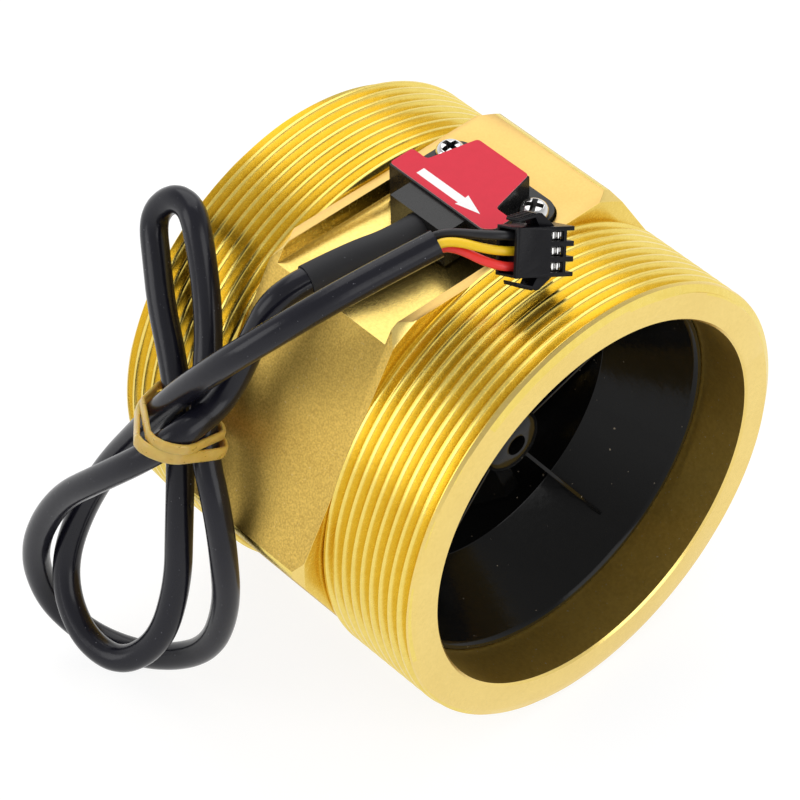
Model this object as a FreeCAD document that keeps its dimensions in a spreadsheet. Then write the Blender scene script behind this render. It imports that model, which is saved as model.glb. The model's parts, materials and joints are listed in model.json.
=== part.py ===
# Turbine flow meter with a clip-in pick-up and a looped signal lead.
# Frame: X is the bore axis and points to the outlet, Z points up to the sensor, and the meter
# stands on the crests of its two pipe threads, so the bore axis lies one crest radius above Z = 0.

import FreeCAD, Part
import math
import os

import Sketcher
from FreeCAD import Placement, Rotation, Vector

doc = FreeCAD.newDocument("turbine_flow_meter")

# Driving sizes in millimetres, angles in degrees

DRIVING_SIZES = [
    ("half_length", 37.4),
    ("thread_wall", 6.99),
    ("thread_depth", 1.479),
    ("thread_runout", 0.75),
    ("thread_flank_angle", 27.5),
    ("thread_lead_in", 1.3),
    ("end_face_drop", 1.84),
    ("end_bevel_drop", 0.44),
    ("end_bevel_length", 0.35),
    ("bore_radius", 36.95),
    ("bore_chamfer", 0.4),
    ("land_half_width", 3.0),
    ("land_height", 0.75),
    ("flat_drop", 0.94),
    ("corner_cut", 0.452),
    ("block_half_length", 15.5),
    ("corner_chamfer_length", 1.8),
    ("corner_chamfer_drop", 1.3),
    ("channel_half_width", 13.6),
    ("channel_depth", 3.3),
    ("pocket_end", 15.1),
    ("pocket_corner_radius", 4.0),
    ("fit_clearance", 0.05),
    ("guide_lip_depth", 11.0),
    ("guide_lip_wall", 1.35),
    ("guide_lip_land", 0.7),
    ("funnel_height", 7.95),
    ("throat_half_length", 9.0),
    ("seal_inset", 7.4),
    ("seal_section_radius", 0.9),
    ("guide_hub_radius", 6.5),
    ("guide_hub_start", 8.5),
    ("guide_hub_length", 9.0),
    ("guide_hub_hole_radius", 1.9),
    ("guide_hub_hole_depth", 3.0),
    ("guide_hub_vent_radius", 0.8),
    ("hub_nose_round", 0.9),
    ("vane_thickness", 1.2),
    ("vane_count", 4),
    ("vane_angle", -56.0),
    ("vane_hub_reach", 7.0),
    ("vane_wall_reach", 4.0),
    ("bush_radius", 3.0),
    ("bush_length", 4.0),
    ("bush_flange_radius", 4.2),
    ("bush_flange_thickness", 0.8),
    ("shaft_radius", 1.5),
    ("shaft_end_gap", 0.3),
    ("washer_radius", 4.0),
    ("washer_thickness", 0.5),
    ("end_play", 0.1),
    ("rotor_hub_radius", 8.0),
    ("rotor_hub_round", 1.2),
    ("rotor_tip_clearance", 0.8),
    ("blade_half_length", 6.4),
    ("blade_thickness", 3.0),
    ("blade_twist", 40.0),
    ("blade_count", 6),
    ("magnet_radius", 0.9),
    ("magnet_length", 6.0),
    ("housing_clearance", 0.4),
    ("gasket_thickness", 0.4),
    ("gasket_margin", 0.3),
    ("ear_top", 4.2),
    ("ear_start", 4.5),
    ("bar_inset", 1.2),
    ("bar_front", -2.0),
    ("bar_back", 3.4),
    ("bar_corner_chamfer", 1.5),
    ("crown_front_inset", 4.9),
    ("crown_back_inset", 7.2),
    ("crown_back", 13.2),
    ("housing_height", 8.5),
    ("step_half_width", 6.75),
    ("step_front", -6.9),
    ("step_height", 7.9),
    ("cavity_half_width", 5.2),
    ("cavity_front", -5.4),
    ("cavity_back", 6.0),
    ("cavity_height", 5.4),
    ("board_thickness", 1.0),
    ("board_margin", 0.3),
    ("chip_width", 4.0),
    ("chip_depth", 3.0),
    ("chip_thickness", 1.5),
    ("label_thickness", 0.15),
    ("label_margin", 0.1),
    ("screw_inset", 3.2),
    ("screw_row", 10.4),
    ("screw_head_radius", 2.45),
    ("screw_head_height", 2.1),
    ("screw_shank_radius", 1.2),
    ("screw_length", 7.0),
    ("screw_recess_width", 0.7),
    ("screw_recess_length", 2.8),
    ("screw_recess_depth", 1.2),
    ("cable_radius", 2.5),
    ("sleeve_radius", 2.85),
    ("sleeve_seat_depth", 1.5),
    ("cable_entry_lift", 4.5),
    ("core_radius", 0.8),
    ("core_spread", 1.3),
    ("band_thickness", 1.0),
    ("band_width", 4.4),
    ("band_clearance", 0.2),
    ("plug_length", 11.7),
    ("plug_width", 8.4),
    ("plug_depth", 5.8),
    ("plug_wall", 0.9),
    ("plug_rear_recess", 1.6),
    ("plug_slot_length", 4.6),
    ("plug_slot_width", 1.7),
    ("plug_slot_depth", 2.4),
    ("contact_pitch", 2.6),
    ("latch_height", 2.4),
    ("latch_half_width", 1.9),
    ("terminal_length", 2.6),
    ("terminal_width", 1.5),
    ("terminal_height", 1.1),
]

# Sizes that follow from the driving ones
DERIVED_SIZES = [
    ("thread_crest_radius", "=bore_radius + thread_wall"),
    ("end_face_radius", "=bore_radius + thread_wall - end_face_drop"),
    ("end_bevel_radius", "=bore_radius + thread_wall - end_bevel_drop"),
    ("hexagon_apothem", "=bore_radius + thread_wall - flat_drop"),
    ("hexagon_corner_radius", "=(bore_radius + thread_wall - flat_drop) / cos(30) - corner_cut"),
    ("guide_lip_radius", "=bore_radius - guide_lip_wall"),
    ("throat_radius", "=bore_radius - funnel_height"),
    ("seal_position", "=half_length - guide_lip_depth - seal_inset"),
    ("guide_hub_end", "=guide_hub_start + guide_hub_length"),
    ("shaft_half_length", "=guide_hub_start + bush_length - shaft_end_gap"),
    ("bar_half_width", "=channel_half_width - bar_inset"),
    ("crown_front_half_width", "=channel_half_width - crown_front_inset"),
    ("crown_back_half_width", "=channel_half_width - crown_back_inset"),
    ("screw_spacing", "=2 * (channel_half_width - screw_inset)"),
    ("cable_entry_height",
     "=bore_radius + thread_wall - flat_drop - channel_depth + cable_entry_lift"),
]

sizes = doc.addObject("Spreadsheet::Sheet", "Sizes")
for row, (alias, value) in enumerate(DRIVING_SIZES + DERIVED_SIZES, start=1):
    sizes.set("A%d" % row, alias)
    sizes.set("B%d" % row, str(value))
    sizes.setAlias("B%d" % row, alias)
doc.recompute()


def size(alias):
    return float(sizes.get(alias))


# The hexagon's apothem for which the lead is drawn; the lead moves out with a larger hexagon
DRAWN_APOTHEM = 43.0
# The lead's route, relative to the bore axis: out of the sleeve, over the edge of the block, once
# round the lower loop, up round the top loop, round the inner loop and back to the plug.
SLEEVE_ROUTE = [(0.0, -5.4, 44.2), (0.0, -12.0, 44.2), (-1.6, -20.5, 45.0), (-3.3, -29.0, 44.1)]
CABLE_ROUTE = [
    (-3.3, -29.0, 44.1), (-4.47, -34.85, 43.48), (-5.9, -38.5, 36.0), (-7.1, -41.9, 28.0),
    (-7.3, -46.3, 23.5), (-6.8, -54.3, 23.0), (-10.8, -59.7, 18.0), (-18.8, -63.2, 9.6),
    (-29.8, -65.6, -2.4), (-36.5, -67.4, -18.4), (-36.5, -65.8, -32.0), (-30.9, -62.9, -39.0),
    (-23.2, -60.0, -40.6), (-13.2, -56.9, -37.5), (-4.2, -53.8, -29.8), (-0.3, -52.6, -16.3),
    (0.2, -53.1, -1.9), (-2.3, -52.1, 8.1), (-7.4, -49.8, 14.0), (-12.2, -45.8, 19.4),
    (-16.6, -40.3, 25.8), (-21.1, -36.4, 32.4), (-25.7, -33.5, 39.5), (-28.8, -31.9, 43.0),
    (-31.8, -30.8, 43.6), (-35.4, -30.8, 42.9), (-38.4, -31.9, 39.6), (-38.9, -33.3, 36.1),
    (-35.2, -35.9, 31.9), (-29.9, -39.6, 26.8), (-23.8, -42.8, 21.5), (-18.3, -46.2, 15.5),
    (-13.8, -50.2, 8.0), (-9.8, -54.6, -1.9), (-7.7, -57.4, -12.9), (-7.9, -61.9, -24.6),
    (-13.2, -66.7, -31.3), (-20.7, -68.4, -30.7), (-27.7, -67.0, -26.6), (-31.9, -63.8, -20.5),
    (-31.9, -59.3, -11.4), (-28.3, -55.2, -0.4), (-21.3, -52.7, 11.5), (-12.8, -51.3, 25.0),
    (-2.8, -48.3, 38.0), (3.6, -42.4, 45.5), (7.1, -34.5, 49.4), (10.1, -24.0, 52.0),
    (13.15, -14.4, 54.4),
]
# The middle of the tie round the four strands, and the direction that its hole faces
TIE_CENTRE = (-12.9, -51.6, 16.5)
TIE_DIRECTION = (-0.02, 0.496, 0.868)
TIE_SPAN = 15.0
# The plug's centre, the way its mating end points and the way its near side faces
PLUG_CENTRE = (23.3, -1.61, 51.66)
PLUG_FORWARD = (0.239, 0.899, -0.368)
PLUG_NEAR_SIDE = (0.884, -0.044, 0.4655)
# Places of the black, yellow and red cores in the jacket's end, as angles round its centre
CORE_ANGLES = [210.0, 90.0, -30.0]
CORE_LEAD_OUT = 2.0

FLOOR = "(Sizes.hexagon_apothem - Sizes.channel_depth)"
TIP_RADIUS = "(Sizes.throat_radius - Sizes.rotor_tip_clearance)"
GUIDE_END = "(Sizes.half_length - Sizes.guide_lip_depth)"
GUIDE_OUTER = "(Sizes.bore_radius - Sizes.fit_clearance)"
LAND_RADIUS = "(Sizes.bore_radius - Sizes.land_height)"
HOUSING_BASE = "(%s + Sizes.gasket_thickness)" % FLOOR

axis_height = size("thread_crest_radius")
channel_floor = size("hexagon_apothem") - size("channel_depth")


# Helpers


def new_body(label):
    """A body whose own frame is the bore axis, lifted so that the threads stand on Z = 0."""
    body = doc.addObject("PartDesign::Body", label)
    body.Label = label
    body.setExpression("Placement.Base.z", "Sizes.thread_crest_radius")
    return body


def origin_plane(body, role):
    return [item for item in body.Origin.OriginFeatures if item.Role == role][0]


def new_sketch(body, name, plane, offset=None, turn=None):
    sketch = body.newObject("Sketcher::SketchObject", name)
    sketch.AttachmentSupport = [(origin_plane(body, plane), "")]
    sketch.MapMode = "FlatFace"
    if offset is not None:
        sketch.setExpression("AttachmentOffset.Base.z", offset)
    if turn is not None:
        sketch.setExpression("AttachmentOffset.Rotation.Angle", turn)
    return sketch


def polygon(body, name, plane, corners, offset=None, turn=None):
    """A closed outline whose corner coordinates are expressions on the size sheet."""
    sketch = new_sketch(body, name, plane, offset, turn)
    count = len(corners)
    ring = [Vector(math.cos(math.tau * i / count), math.sin(math.tau * i / count), 0)
            for i in range(count)]
    for i in range(count):
        sketch.addGeometry(Part.LineSegment(ring[i], ring[(i + 1) % count]))
    for i in range(count):
        sketch.addConstraint(Sketcher.Constraint("Coincident", i, 2, (i + 1) % count, 1))
    for i, (across, up) in enumerate(corners):
        for kind, start, text in (("DistanceX", ring[i].x, across), ("DistanceY", ring[i].y, up)):
            index = sketch.addConstraint(Sketcher.Constraint(kind, -1, 1, i, 1, start))
            sketch.setExpression("Constraints[%d]" % index, str(text))
    return sketch


def circle(body, name, plane, across, up, radius, offset=None):
    sketch = new_sketch(body, name, plane, offset)
    sketch.addGeometry(Part.Circle(Vector(1, 1, 0), Vector(0, 0, 1), 1))
    for constraint, text in (
        (Sketcher.Constraint("DistanceX", -1, 1, 0, 3, 1), across),
        (Sketcher.Constraint("DistanceY", -1, 1, 0, 3, 1), up),
        (Sketcher.Constraint("Radius", 0, 1), radius),
    ):
        index = sketch.addConstraint(constraint)
        sketch.setExpression("Constraints[%d]" % index, str(text))
    return sketch


def extrude(body, kind, sketch, length, symmetric=False, reverse=False):
    feature = body.newObject("PartDesign::" + kind, sketch.Name + "_" + kind.lower())
    feature.Profile = sketch
    feature.Reversed = reverse
    if symmetric:
        feature.SideType = "Symmetric"
    feature.setExpression("Length", length)
    doc.recompute()
    return feature


def revolve(body, kind, sketch):
    """Turn a sketch in the XY plane once round the bore axis."""
    feature = body.newObject("PartDesign::" + kind, sketch.Name + "_" + kind.lower())
    feature.Profile = sketch
    feature.ReferenceAxis = (sketch, ["H_Axis"])
    feature.Angle = 360
    doc.recompute()
    return feature


def pattern(body, feature, count):
    copies = body.newObject("PartDesign::PolarPattern", feature.Name + "_pattern")
    copies.Originals = [feature]
    copies.Axis = (feature.Profile[0], ["H_Axis"])
    copies.Angle = 360
    copies.setExpression("Occurrences", count)
    body.Tip = copies
    doc.recompute()
    return copies


def mirror(body, features, plane):
    copies = body.newObject("PartDesign::Mirrored", features[0].Name + "_mirror")
    copies.Originals = features
    copies.MirrorPlane = (origin_plane(body, plane), [""])
    body.Tip = copies
    doc.recompute()
    return copies


def round_edges(body, kind, text, chosen):
    """Fillet or chamfer the edges of the body's tip for which the test holds."""
    base = body.Tip
    names = ["Edge%d" % (i + 1) for i, edge in enumerate(base.Shape.Edges) if chosen(edge)]
    feature = body.newObject("PartDesign::" + kind, body.Name + "_" + kind.lower())
    feature.Base = (base, names)
    feature.setExpression("Radius" if kind == "Fillet" else "Size", text)
    doc.recompute()
    return feature


def along(edge, direction):
    """Whether a straight edge runs along the given direction."""
    if not isinstance(edge.Curve, Part.Line):
        return False
    return abs(abs(edge.Curve.Direction.dot(direction)) - 1) < 1e-6


def plain_shape(label, shape):
    feature = doc.addObject("Part::Feature", label)
    feature.Label = label
    feature.Shape = shape
    feature.Placement = Placement(Vector(0, 0, axis_height), Rotation())
    return feature


def drawn_at(x, y, z):
    """A point of the lead, moved out with the hexagon."""
    grow = size("hexagon_apothem") / DRAWN_APOTHEM
    return Vector(x, y * grow, z * grow)


def round_path(points, radii=None):
    """Straight runs joined by tangent arcs, each as large as its two runs allow."""
    corners = [Vector(*point) for point in points]
    edges = []
    start = corners[0]
    for before, here, after in zip(corners, corners[1:], corners[2:]):
        back = before - here
        ahead = after - here
        turn = math.pi - back.getAngle(ahead)
        cut = 0.45 * min(back.Length, ahead.Length)
        radius = cut / math.tan(turn / 2)
        if radii is not None:
            radii.append(radius)
        back.normalize()
        ahead.normalize()
        inward = (back + ahead).normalize()
        first = here + back * cut
        last = here + ahead * cut
        middle = here + inward * (math.hypot(radius, cut) - radius)
        edges.append(Part.LineSegment(start, first).toShape())
        edges.append(Part.Arc(first, middle, last).toShape())
        start = last
    edges.append(Part.LineSegment(start, corners[-1]).toShape())
    return Part.Wire(edges)


def tube(label, points, radius):
    """A round solid along a path of runs and arcs."""
    radii = []
    path = round_path(points, radii)
    first = Vector(*points[0])
    way = Vector(*points[1]) - first
    section = Part.Wire(Part.makeCircle(radius, first, way))
    solid = path.makePipeShell([section], True, False)
    drift = solid.Volume / (math.pi * radius ** 2 * path.Length) - 1
    print("%s: length %.1f, radii %.1f to %.1f, volume off by %.4f"
          % (label, path.Length, min(radii), max(radii), drift))
    return plain_shape(label, solid)


# Meter body: turned and milled from one piece


def barrel_profile():
    """Half of the turned outline, from the middle of the block out to the end face.

    The pipe thread is drawn plain at its crest radius, from its runout groove to its lead-in.
    """
    root = "(Sizes.thread_crest_radius - Sizes.thread_depth)"
    runout = "(Sizes.block_half_length + Sizes.thread_runout)"
    return [
        ("0", "0"),
        ("0", root),
        (runout, root),
        (runout + " + Sizes.thread_depth * tan(Sizes.thread_flank_angle)",
         "Sizes.thread_crest_radius"),
        ("Sizes.half_length - Sizes.thread_lead_in", "Sizes.thread_crest_radius"),
        ("Sizes.half_length - Sizes.end_bevel_length", "Sizes.end_bevel_radius"),
        ("Sizes.half_length", "Sizes.end_face_radius"),
        ("Sizes.half_length", "0"),
    ]


def hexagon_corners():
    """Corners of the hexagon round the bore axis, with a flat on top."""
    return [("Sizes.hexagon_apothem / cos(30) * sin(%d)" % angle,
             "Sizes.hexagon_apothem / cos(30) * cos(%d)" % angle) for angle in range(30, 390, 60)]


def make_meter_body():
    body = new_body("meter_body")
    extrude(body, "Pad", polygon(body, "hexagon", "YZ_Plane", hexagon_corners()),
            "2 * Sizes.block_half_length", symmetric=True)
    barrel = revolve(body, "Revolution", polygon(body, "barrel", "XY_Plane", barrel_profile()))
    mirror(body, [barrel], "YZ_Plane")
    corner = "Sizes.hexagon_corner_radius"
    beyond = "(Sizes.hexagon_corner_radius + 5)"
    half = "Sizes.block_half_length"
    turned = polygon(body, "turned_corners", "XY_Plane", [
        ("-%s" % half, beyond),
        ("-%s" % half, "%s - Sizes.corner_chamfer_drop" % corner),
        ("Sizes.corner_chamfer_length - %s" % half, corner),
        ("%s - Sizes.corner_chamfer_length" % half, corner),
        (half, "%s - Sizes.corner_chamfer_drop" % corner),
        (half, beyond),
    ])
    revolve(body, "Groove", turned)
    bore = polygon(body, "bore", "XY_Plane", [
        ("0", "0"),
        ("0", LAND_RADIUS),
        ("Sizes.land_half_width", LAND_RADIUS),
        ("Sizes.land_half_width", "Sizes.bore_radius"),
        ("Sizes.half_length - Sizes.bore_chamfer", "Sizes.bore_radius"),
        ("Sizes.half_length", "Sizes.bore_radius + Sizes.bore_chamfer"),
        ("Sizes.half_length", "0"),
    ])
    mirror(body, [revolve(body, "Groove", bore)], "YZ_Plane")
    channel = polygon(body, "channel", "XY_Plane", [
        ("-Sizes.channel_half_width", "-2 * Sizes.hexagon_apothem"),
        ("Sizes.channel_half_width", "-2 * Sizes.hexagon_apothem"),
        ("Sizes.channel_half_width", "Sizes.pocket_end"),
        ("-Sizes.channel_half_width", "Sizes.pocket_end"),
    ], offset=FLOOR)
    extrude(body, "Pocket", channel, "2 * Sizes.channel_depth", reverse=True)
    end = size("pocket_end")
    round_edges(body, "Fillet", "Sizes.pocket_corner_radius",
                lambda edge: along(edge, Vector(0, 0, 1)) and abs(edge.CenterOfMass.y - end) < 0.01
                and edge.CenterOfMass.z > channel_floor)
    hole = circle(body, "tapped_hole", "XY_Plane", "Sizes.screw_spacing / 2", "Sizes.screw_row",
                  "Sizes.screw_shank_radius + Sizes.fit_clearance", offset=FLOOR)
    depth = "Sizes.screw_length - Sizes.ear_top + Sizes.fit_clearance"
    mirror(body, [extrude(body, "Pocket", hole, depth)], "YZ_Plane")
    return body


# Flow guides: funnel, hub and vanes moulded as one


def make_guide(label, half_turn):
    body = new_body(label)
    body.setExpression("Placement.Rotation", "create(<<rotation>>; %d; 0; Sizes.vane_angle)"
                       % half_turn)
    seal_reach = "(2 * Sizes.seal_section_radius - Sizes.fit_clearance)"
    wall = polygon(body, "funnel", "XY_Plane", [
        ("0", "Sizes.throat_radius"),
        ("Sizes.throat_half_length", "Sizes.throat_radius"),
        ("%s - Sizes.guide_lip_land" % GUIDE_END, "Sizes.guide_lip_radius"),
        (GUIDE_END, "Sizes.guide_lip_radius + Sizes.guide_lip_land / 2"),
        (GUIDE_END, GUIDE_OUTER),
        ("Sizes.seal_position + Sizes.seal_section_radius + Sizes.end_play", GUIDE_OUTER),
        ("Sizes.seal_position + Sizes.seal_section_radius + Sizes.end_play",
         "Sizes.bore_radius - %s - Sizes.end_play" % seal_reach),
        ("Sizes.seal_position - Sizes.seal_section_radius - Sizes.end_play",
         "Sizes.bore_radius - %s - Sizes.end_play" % seal_reach),
        ("Sizes.seal_position - Sizes.seal_section_radius - Sizes.end_play", GUIDE_OUTER),
        ("Sizes.land_half_width + Sizes.fit_clearance", GUIDE_OUTER),
        ("Sizes.land_half_width + Sizes.fit_clearance", LAND_RADIUS + " - Sizes.fit_clearance"),
        ("0", LAND_RADIUS + " - Sizes.fit_clearance"),
    ])
    revolve(body, "Revolution", wall)
    vane = polygon(body, "vane", "XY_Plane", [
        ("Sizes.throat_half_length", "Sizes.guide_hub_radius / 2"),
        ("Sizes.throat_half_length + Sizes.vane_hub_reach", "Sizes.guide_hub_radius / 2"),
        ("Sizes.throat_half_length + Sizes.vane_hub_reach", "Sizes.guide_hub_radius + 1"),
        ("Sizes.throat_half_length + Sizes.vane_wall_reach",
         "(Sizes.throat_radius + Sizes.guide_lip_radius) / 2"),
        ("Sizes.throat_half_length", "(Sizes.throat_radius + Sizes.guide_lip_radius) / 2"),
    ])
    pattern(body, extrude(body, "Pad", vane, "Sizes.vane_thickness", symmetric=True),
            "Sizes.vane_count")
    seat = "(Sizes.bush_radius + Sizes.fit_clearance)"
    hub = polygon(body, "hub", "XY_Plane", [
        ("Sizes.guide_hub_start", "0"),
        ("Sizes.guide_hub_start", "Sizes.guide_hub_radius"),
        ("Sizes.guide_hub_end - Sizes.hub_nose_round", "Sizes.guide_hub_radius"),
        ("Sizes.guide_hub_end", "Sizes.guide_hub_radius - Sizes.hub_nose_round"),
        ("Sizes.guide_hub_end", "0"),
    ])
    revolve(body, "Revolution", hub)
    hollow = polygon(body, "hub_bore", "XY_Plane", [
        ("Sizes.guide_hub_start - 1", "0"),
        ("Sizes.guide_hub_start - 1", seat),
        ("Sizes.guide_hub_start + Sizes.bush_length", seat),
        ("Sizes.guide_hub_start + Sizes.bush_length", "Sizes.guide_hub_vent_radius"),
        ("Sizes.guide_hub_end - Sizes.guide_hub_hole_depth", "Sizes.guide_hub_vent_radius"),
        ("Sizes.guide_hub_end - Sizes.guide_hub_hole_depth", "Sizes.guide_hub_hole_radius"),
        ("Sizes.guide_hub_end + 1", "Sizes.guide_hub_hole_radius"),
        ("Sizes.guide_hub_end + 1", "0"),
    ])
    revolve(body, "Groove", hollow)
    return body


def make_guide_seal(label, side):
    ring = doc.addObject("Part::Torus", label)
    ring.Label = label
    section = "(Sizes.seal_section_radius - Sizes.fit_clearance)"
    ring.setExpression("Radius2", section)
    ring.setExpression("Radius1", "Sizes.bore_radius - Sizes.fit_clearance - %s" % section)
    ring.Placement = Placement(Vector(0, 0, 0), Rotation(Vector(0, 1, 0), 90))
    ring.setExpression("Placement.Base.x", "%d * Sizes.seal_position" % side)
    ring.setExpression("Placement.Base.z", "Sizes.thread_crest_radius")
    return ring


# Rotor and its bearings


def make_rotor():
    body = new_body("rotor")
    half = "(Sizes.guide_hub_start - Sizes.bush_flange_thickness - Sizes.washer_thickness" \
           " - 2 * Sizes.end_play)"
    stations = (-1.0, -0.5, 0.0, 0.5, 1.0)
    sections = []
    for i, station in enumerate(stations):
        sections.append(polygon(body, "blade_section_%d" % (i + 1), "YZ_Plane", [
            ("-Sizes.blade_thickness / 2", "Sizes.rotor_hub_radius / 2"),
            ("Sizes.blade_thickness / 2", "Sizes.rotor_hub_radius / 2"),
            ("Sizes.blade_thickness / 2", TIP_RADIUS),
            ("-Sizes.blade_thickness / 2", TIP_RADIUS),
        ], offset="%s * Sizes.blade_half_length" % station,
            turn="%s * Sizes.blade_twist" % (station / 2)))
    blade = body.newObject("PartDesign::AdditiveLoft", "blade")
    blade.Profile = sections[0]
    blade.Sections = sections[1:]
    doc.recompute()
    copies = body.newObject("PartDesign::PolarPattern", "blades")
    copies.Originals = [blade]
    copies.Axis = (sections[0], ["N_Axis"])
    copies.Angle = 360
    copies.setExpression("Occurrences", "Sizes.blade_count")
    body.Tip = copies
    doc.recompute()
    hub = polygon(body, "rotor_hub", "XY_Plane", [
        ("-%s" % half, "0"),
        ("-%s" % half, "Sizes.rotor_hub_radius - Sizes.rotor_hub_round"),
        ("Sizes.rotor_hub_round - %s" % half, "Sizes.rotor_hub_radius"),
        ("%s - Sizes.rotor_hub_round" % half, "Sizes.rotor_hub_radius"),
        (half, "Sizes.rotor_hub_radius - Sizes.rotor_hub_round"),
        (half, "0"),
    ])
    revolve(body, "Revolution", hub)
    pocket = circle(body, "magnet_hole", "XY_Plane", "0", "0",
                    "Sizes.magnet_radius + Sizes.fit_clearance",
                    offset="%s - Sizes.magnet_length" % TIP_RADIUS)
    hole = extrude(body, "Pocket", pocket, "2 * Sizes.magnet_length", reverse=True)
    mirror(body, [hole], "XY_Plane")
    bore = polygon(body, "rotor_bore", "XY_Plane", [
        ("-%s - 1" % half, "0"),
        ("-%s - 1" % half, "Sizes.shaft_radius + Sizes.fit_clearance / 2"),
        ("%s + 1" % half, "Sizes.shaft_radius + Sizes.fit_clearance / 2"),
        ("%s + 1" % half, "0"),
    ])
    revolve(body, "Groove", bore)
    return body


def turned_piece(label, profile, side=1):
    """A turned piece on the bore axis, drawn for the outlet side and turned round for the inlet."""
    body = new_body(label)
    revolve(body, "Revolution", polygon(body, label + "_profile", "XY_Plane", profile))
    if side < 0:
        body.Placement = Placement(Vector(0, 0, 0), Rotation(Vector(0, 0, 1), 180))
    return body


def make_bush(label, side):
    bore = "Sizes.shaft_radius + Sizes.fit_clearance"
    start = "Sizes.guide_hub_start"
    return turned_piece(label, [
        ("%s - Sizes.bush_flange_thickness" % start, bore),
        ("%s - Sizes.bush_flange_thickness" % start, "Sizes.bush_flange_radius"),
        (start, "Sizes.bush_flange_radius"),
        (start, "Sizes.bush_radius"),
        ("%s + Sizes.bush_length" % start, "Sizes.bush_radius"),
        ("%s + Sizes.bush_length" % start, bore),
    ], side)


def make_washer(label, side):
    face = "(Sizes.guide_hub_start - Sizes.bush_flange_thickness)"
    bore = "Sizes.shaft_radius + 2 * Sizes.fit_clearance"
    return turned_piece(label, [
        ("%s - Sizes.washer_thickness - Sizes.end_play" % face, bore),
        ("%s - Sizes.washer_thickness - Sizes.end_play" % face, "Sizes.washer_radius"),
        ("%s - Sizes.end_play" % face, "Sizes.washer_radius"),
        ("%s - Sizes.end_play" % face, bore),
    ], side)


def make_shaft():
    tip = "(Sizes.shaft_half_length - 0.3)"
    return turned_piece("rotor_shaft", [
        ("-Sizes.shaft_half_length", "0"),
        ("-Sizes.shaft_half_length", "Sizes.shaft_radius - 0.3"),
        ("-%s" % tip, "Sizes.shaft_radius"),
        (tip, "Sizes.shaft_radius"),
        ("Sizes.shaft_half_length", "Sizes.shaft_radius - 0.3"),
        ("Sizes.shaft_half_length", "0"),
    ])


def make_magnets():
    body = new_body("rotor_magnets")
    rod = circle(body, "magnet", "XY_Plane", "0", "0", "Sizes.magnet_radius",
                 offset="%s - Sizes.magnet_length" % TIP_RADIUS)
    pad = extrude(body, "Pad", rod, "Sizes.magnet_length - Sizes.end_play")
    mirror(body, [pad], "XY_Plane")
    return body


# Pick-up: housing, gasket, board, chip, label and screws


def ear_outline(margin):
    """The pocket's outline, held clear of its walls."""
    side = "(Sizes.channel_half_width - Sizes.housing_clearance - %s)" % margin
    back = "(Sizes.pocket_end - Sizes.housing_clearance - %s)" % margin
    return [("-" + side, "Sizes.ear_start"), (side, "Sizes.ear_start"), (side, back),
            ("-" + side, back)]


def crown_outline(margin):
    """T-shaped top of the housing: the bar across the front and the crown between the screws."""
    bar = "(Sizes.bar_half_width - %s)" % margin
    front = "(Sizes.bar_front + %s)" % margin
    back = "(Sizes.bar_back - %s)" % margin
    return [
        ("-" + bar, front),
        (bar + " - Sizes.bar_corner_chamfer", front),
        (bar, front + " + Sizes.bar_corner_chamfer"),
        (bar, back),
        ("Sizes.crown_front_half_width - %s" % margin, back),
        ("Sizes.crown_back_half_width - %s" % margin, "Sizes.crown_back - %s" % margin),
        ("-Sizes.crown_back_half_width + %s" % margin, "Sizes.crown_back - %s" % margin),
        ("-Sizes.crown_front_half_width + %s" % margin, back),
        ("-" + bar, back),
    ]


def make_housing():
    body = new_body("sensor_housing")
    lift = "Sizes.gasket_thickness"
    extrude(body, "Pad", polygon(body, "ears", "XY_Plane", ear_outline("0"), HOUSING_BASE),
            "Sizes.ear_top - %s" % lift)
    back = size("pocket_end") - size("housing_clearance")
    round_edges(body, "Fillet", "Sizes.pocket_corner_radius - Sizes.housing_clearance",
                lambda edge: along(edge, Vector(0, 0, 1)) and abs(edge.CenterOfMass.y - back) < 0.01)
    extrude(body, "Pad", polygon(body, "crown", "XY_Plane", crown_outline("0"), HOUSING_BASE),
            "Sizes.housing_height - %s" % lift)
    step = polygon(body, "cable_step", "XY_Plane", [
        ("-Sizes.step_half_width", "Sizes.step_front"),
        ("Sizes.step_half_width", "Sizes.step_front"),
        ("Sizes.step_half_width", "Sizes.bar_front + 1"),
        ("-Sizes.step_half_width", "Sizes.bar_front + 1"),
    ], HOUSING_BASE)
    extrude(body, "Pad", step, "Sizes.step_height - %s" % lift)
    top = channel_floor + size("housing_height")
    round_edges(body, "Chamfer", "0.3", lambda edge: abs(edge.BoundBox.ZMin - top) < 0.01)
    cavity = polygon(body, "board_cavity", "XY_Plane", [
        ("-Sizes.cavity_half_width", "Sizes.cavity_front"),
        ("Sizes.cavity_half_width", "Sizes.cavity_front"),
        ("Sizes.cavity_half_width", "Sizes.cavity_back"),
        ("-Sizes.cavity_half_width", "Sizes.cavity_back"),
    ], HOUSING_BASE)
    extrude(body, "Pocket", cavity, "Sizes.cavity_height", reverse=True)
    hole = circle(body, "screw_hole", "XY_Plane", "Sizes.screw_spacing / 2", "Sizes.screw_row",
                  "Sizes.screw_shank_radius + 0.2", HOUSING_BASE)
    mirror(body, [extrude(body, "Pocket", hole, "Sizes.ear_top", reverse=True)], "YZ_Plane")
    seat = circle(body, "sleeve_seat", "XZ_Plane", "0", "Sizes.cable_entry_height",
                  "Sizes.sleeve_radius + 2 * Sizes.fit_clearance",
                  "-Sizes.step_front - Sizes.sleeve_seat_depth")
    extrude(body, "Pocket", seat, "2 * Sizes.sleeve_seat_depth", reverse=True)
    return body


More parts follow.
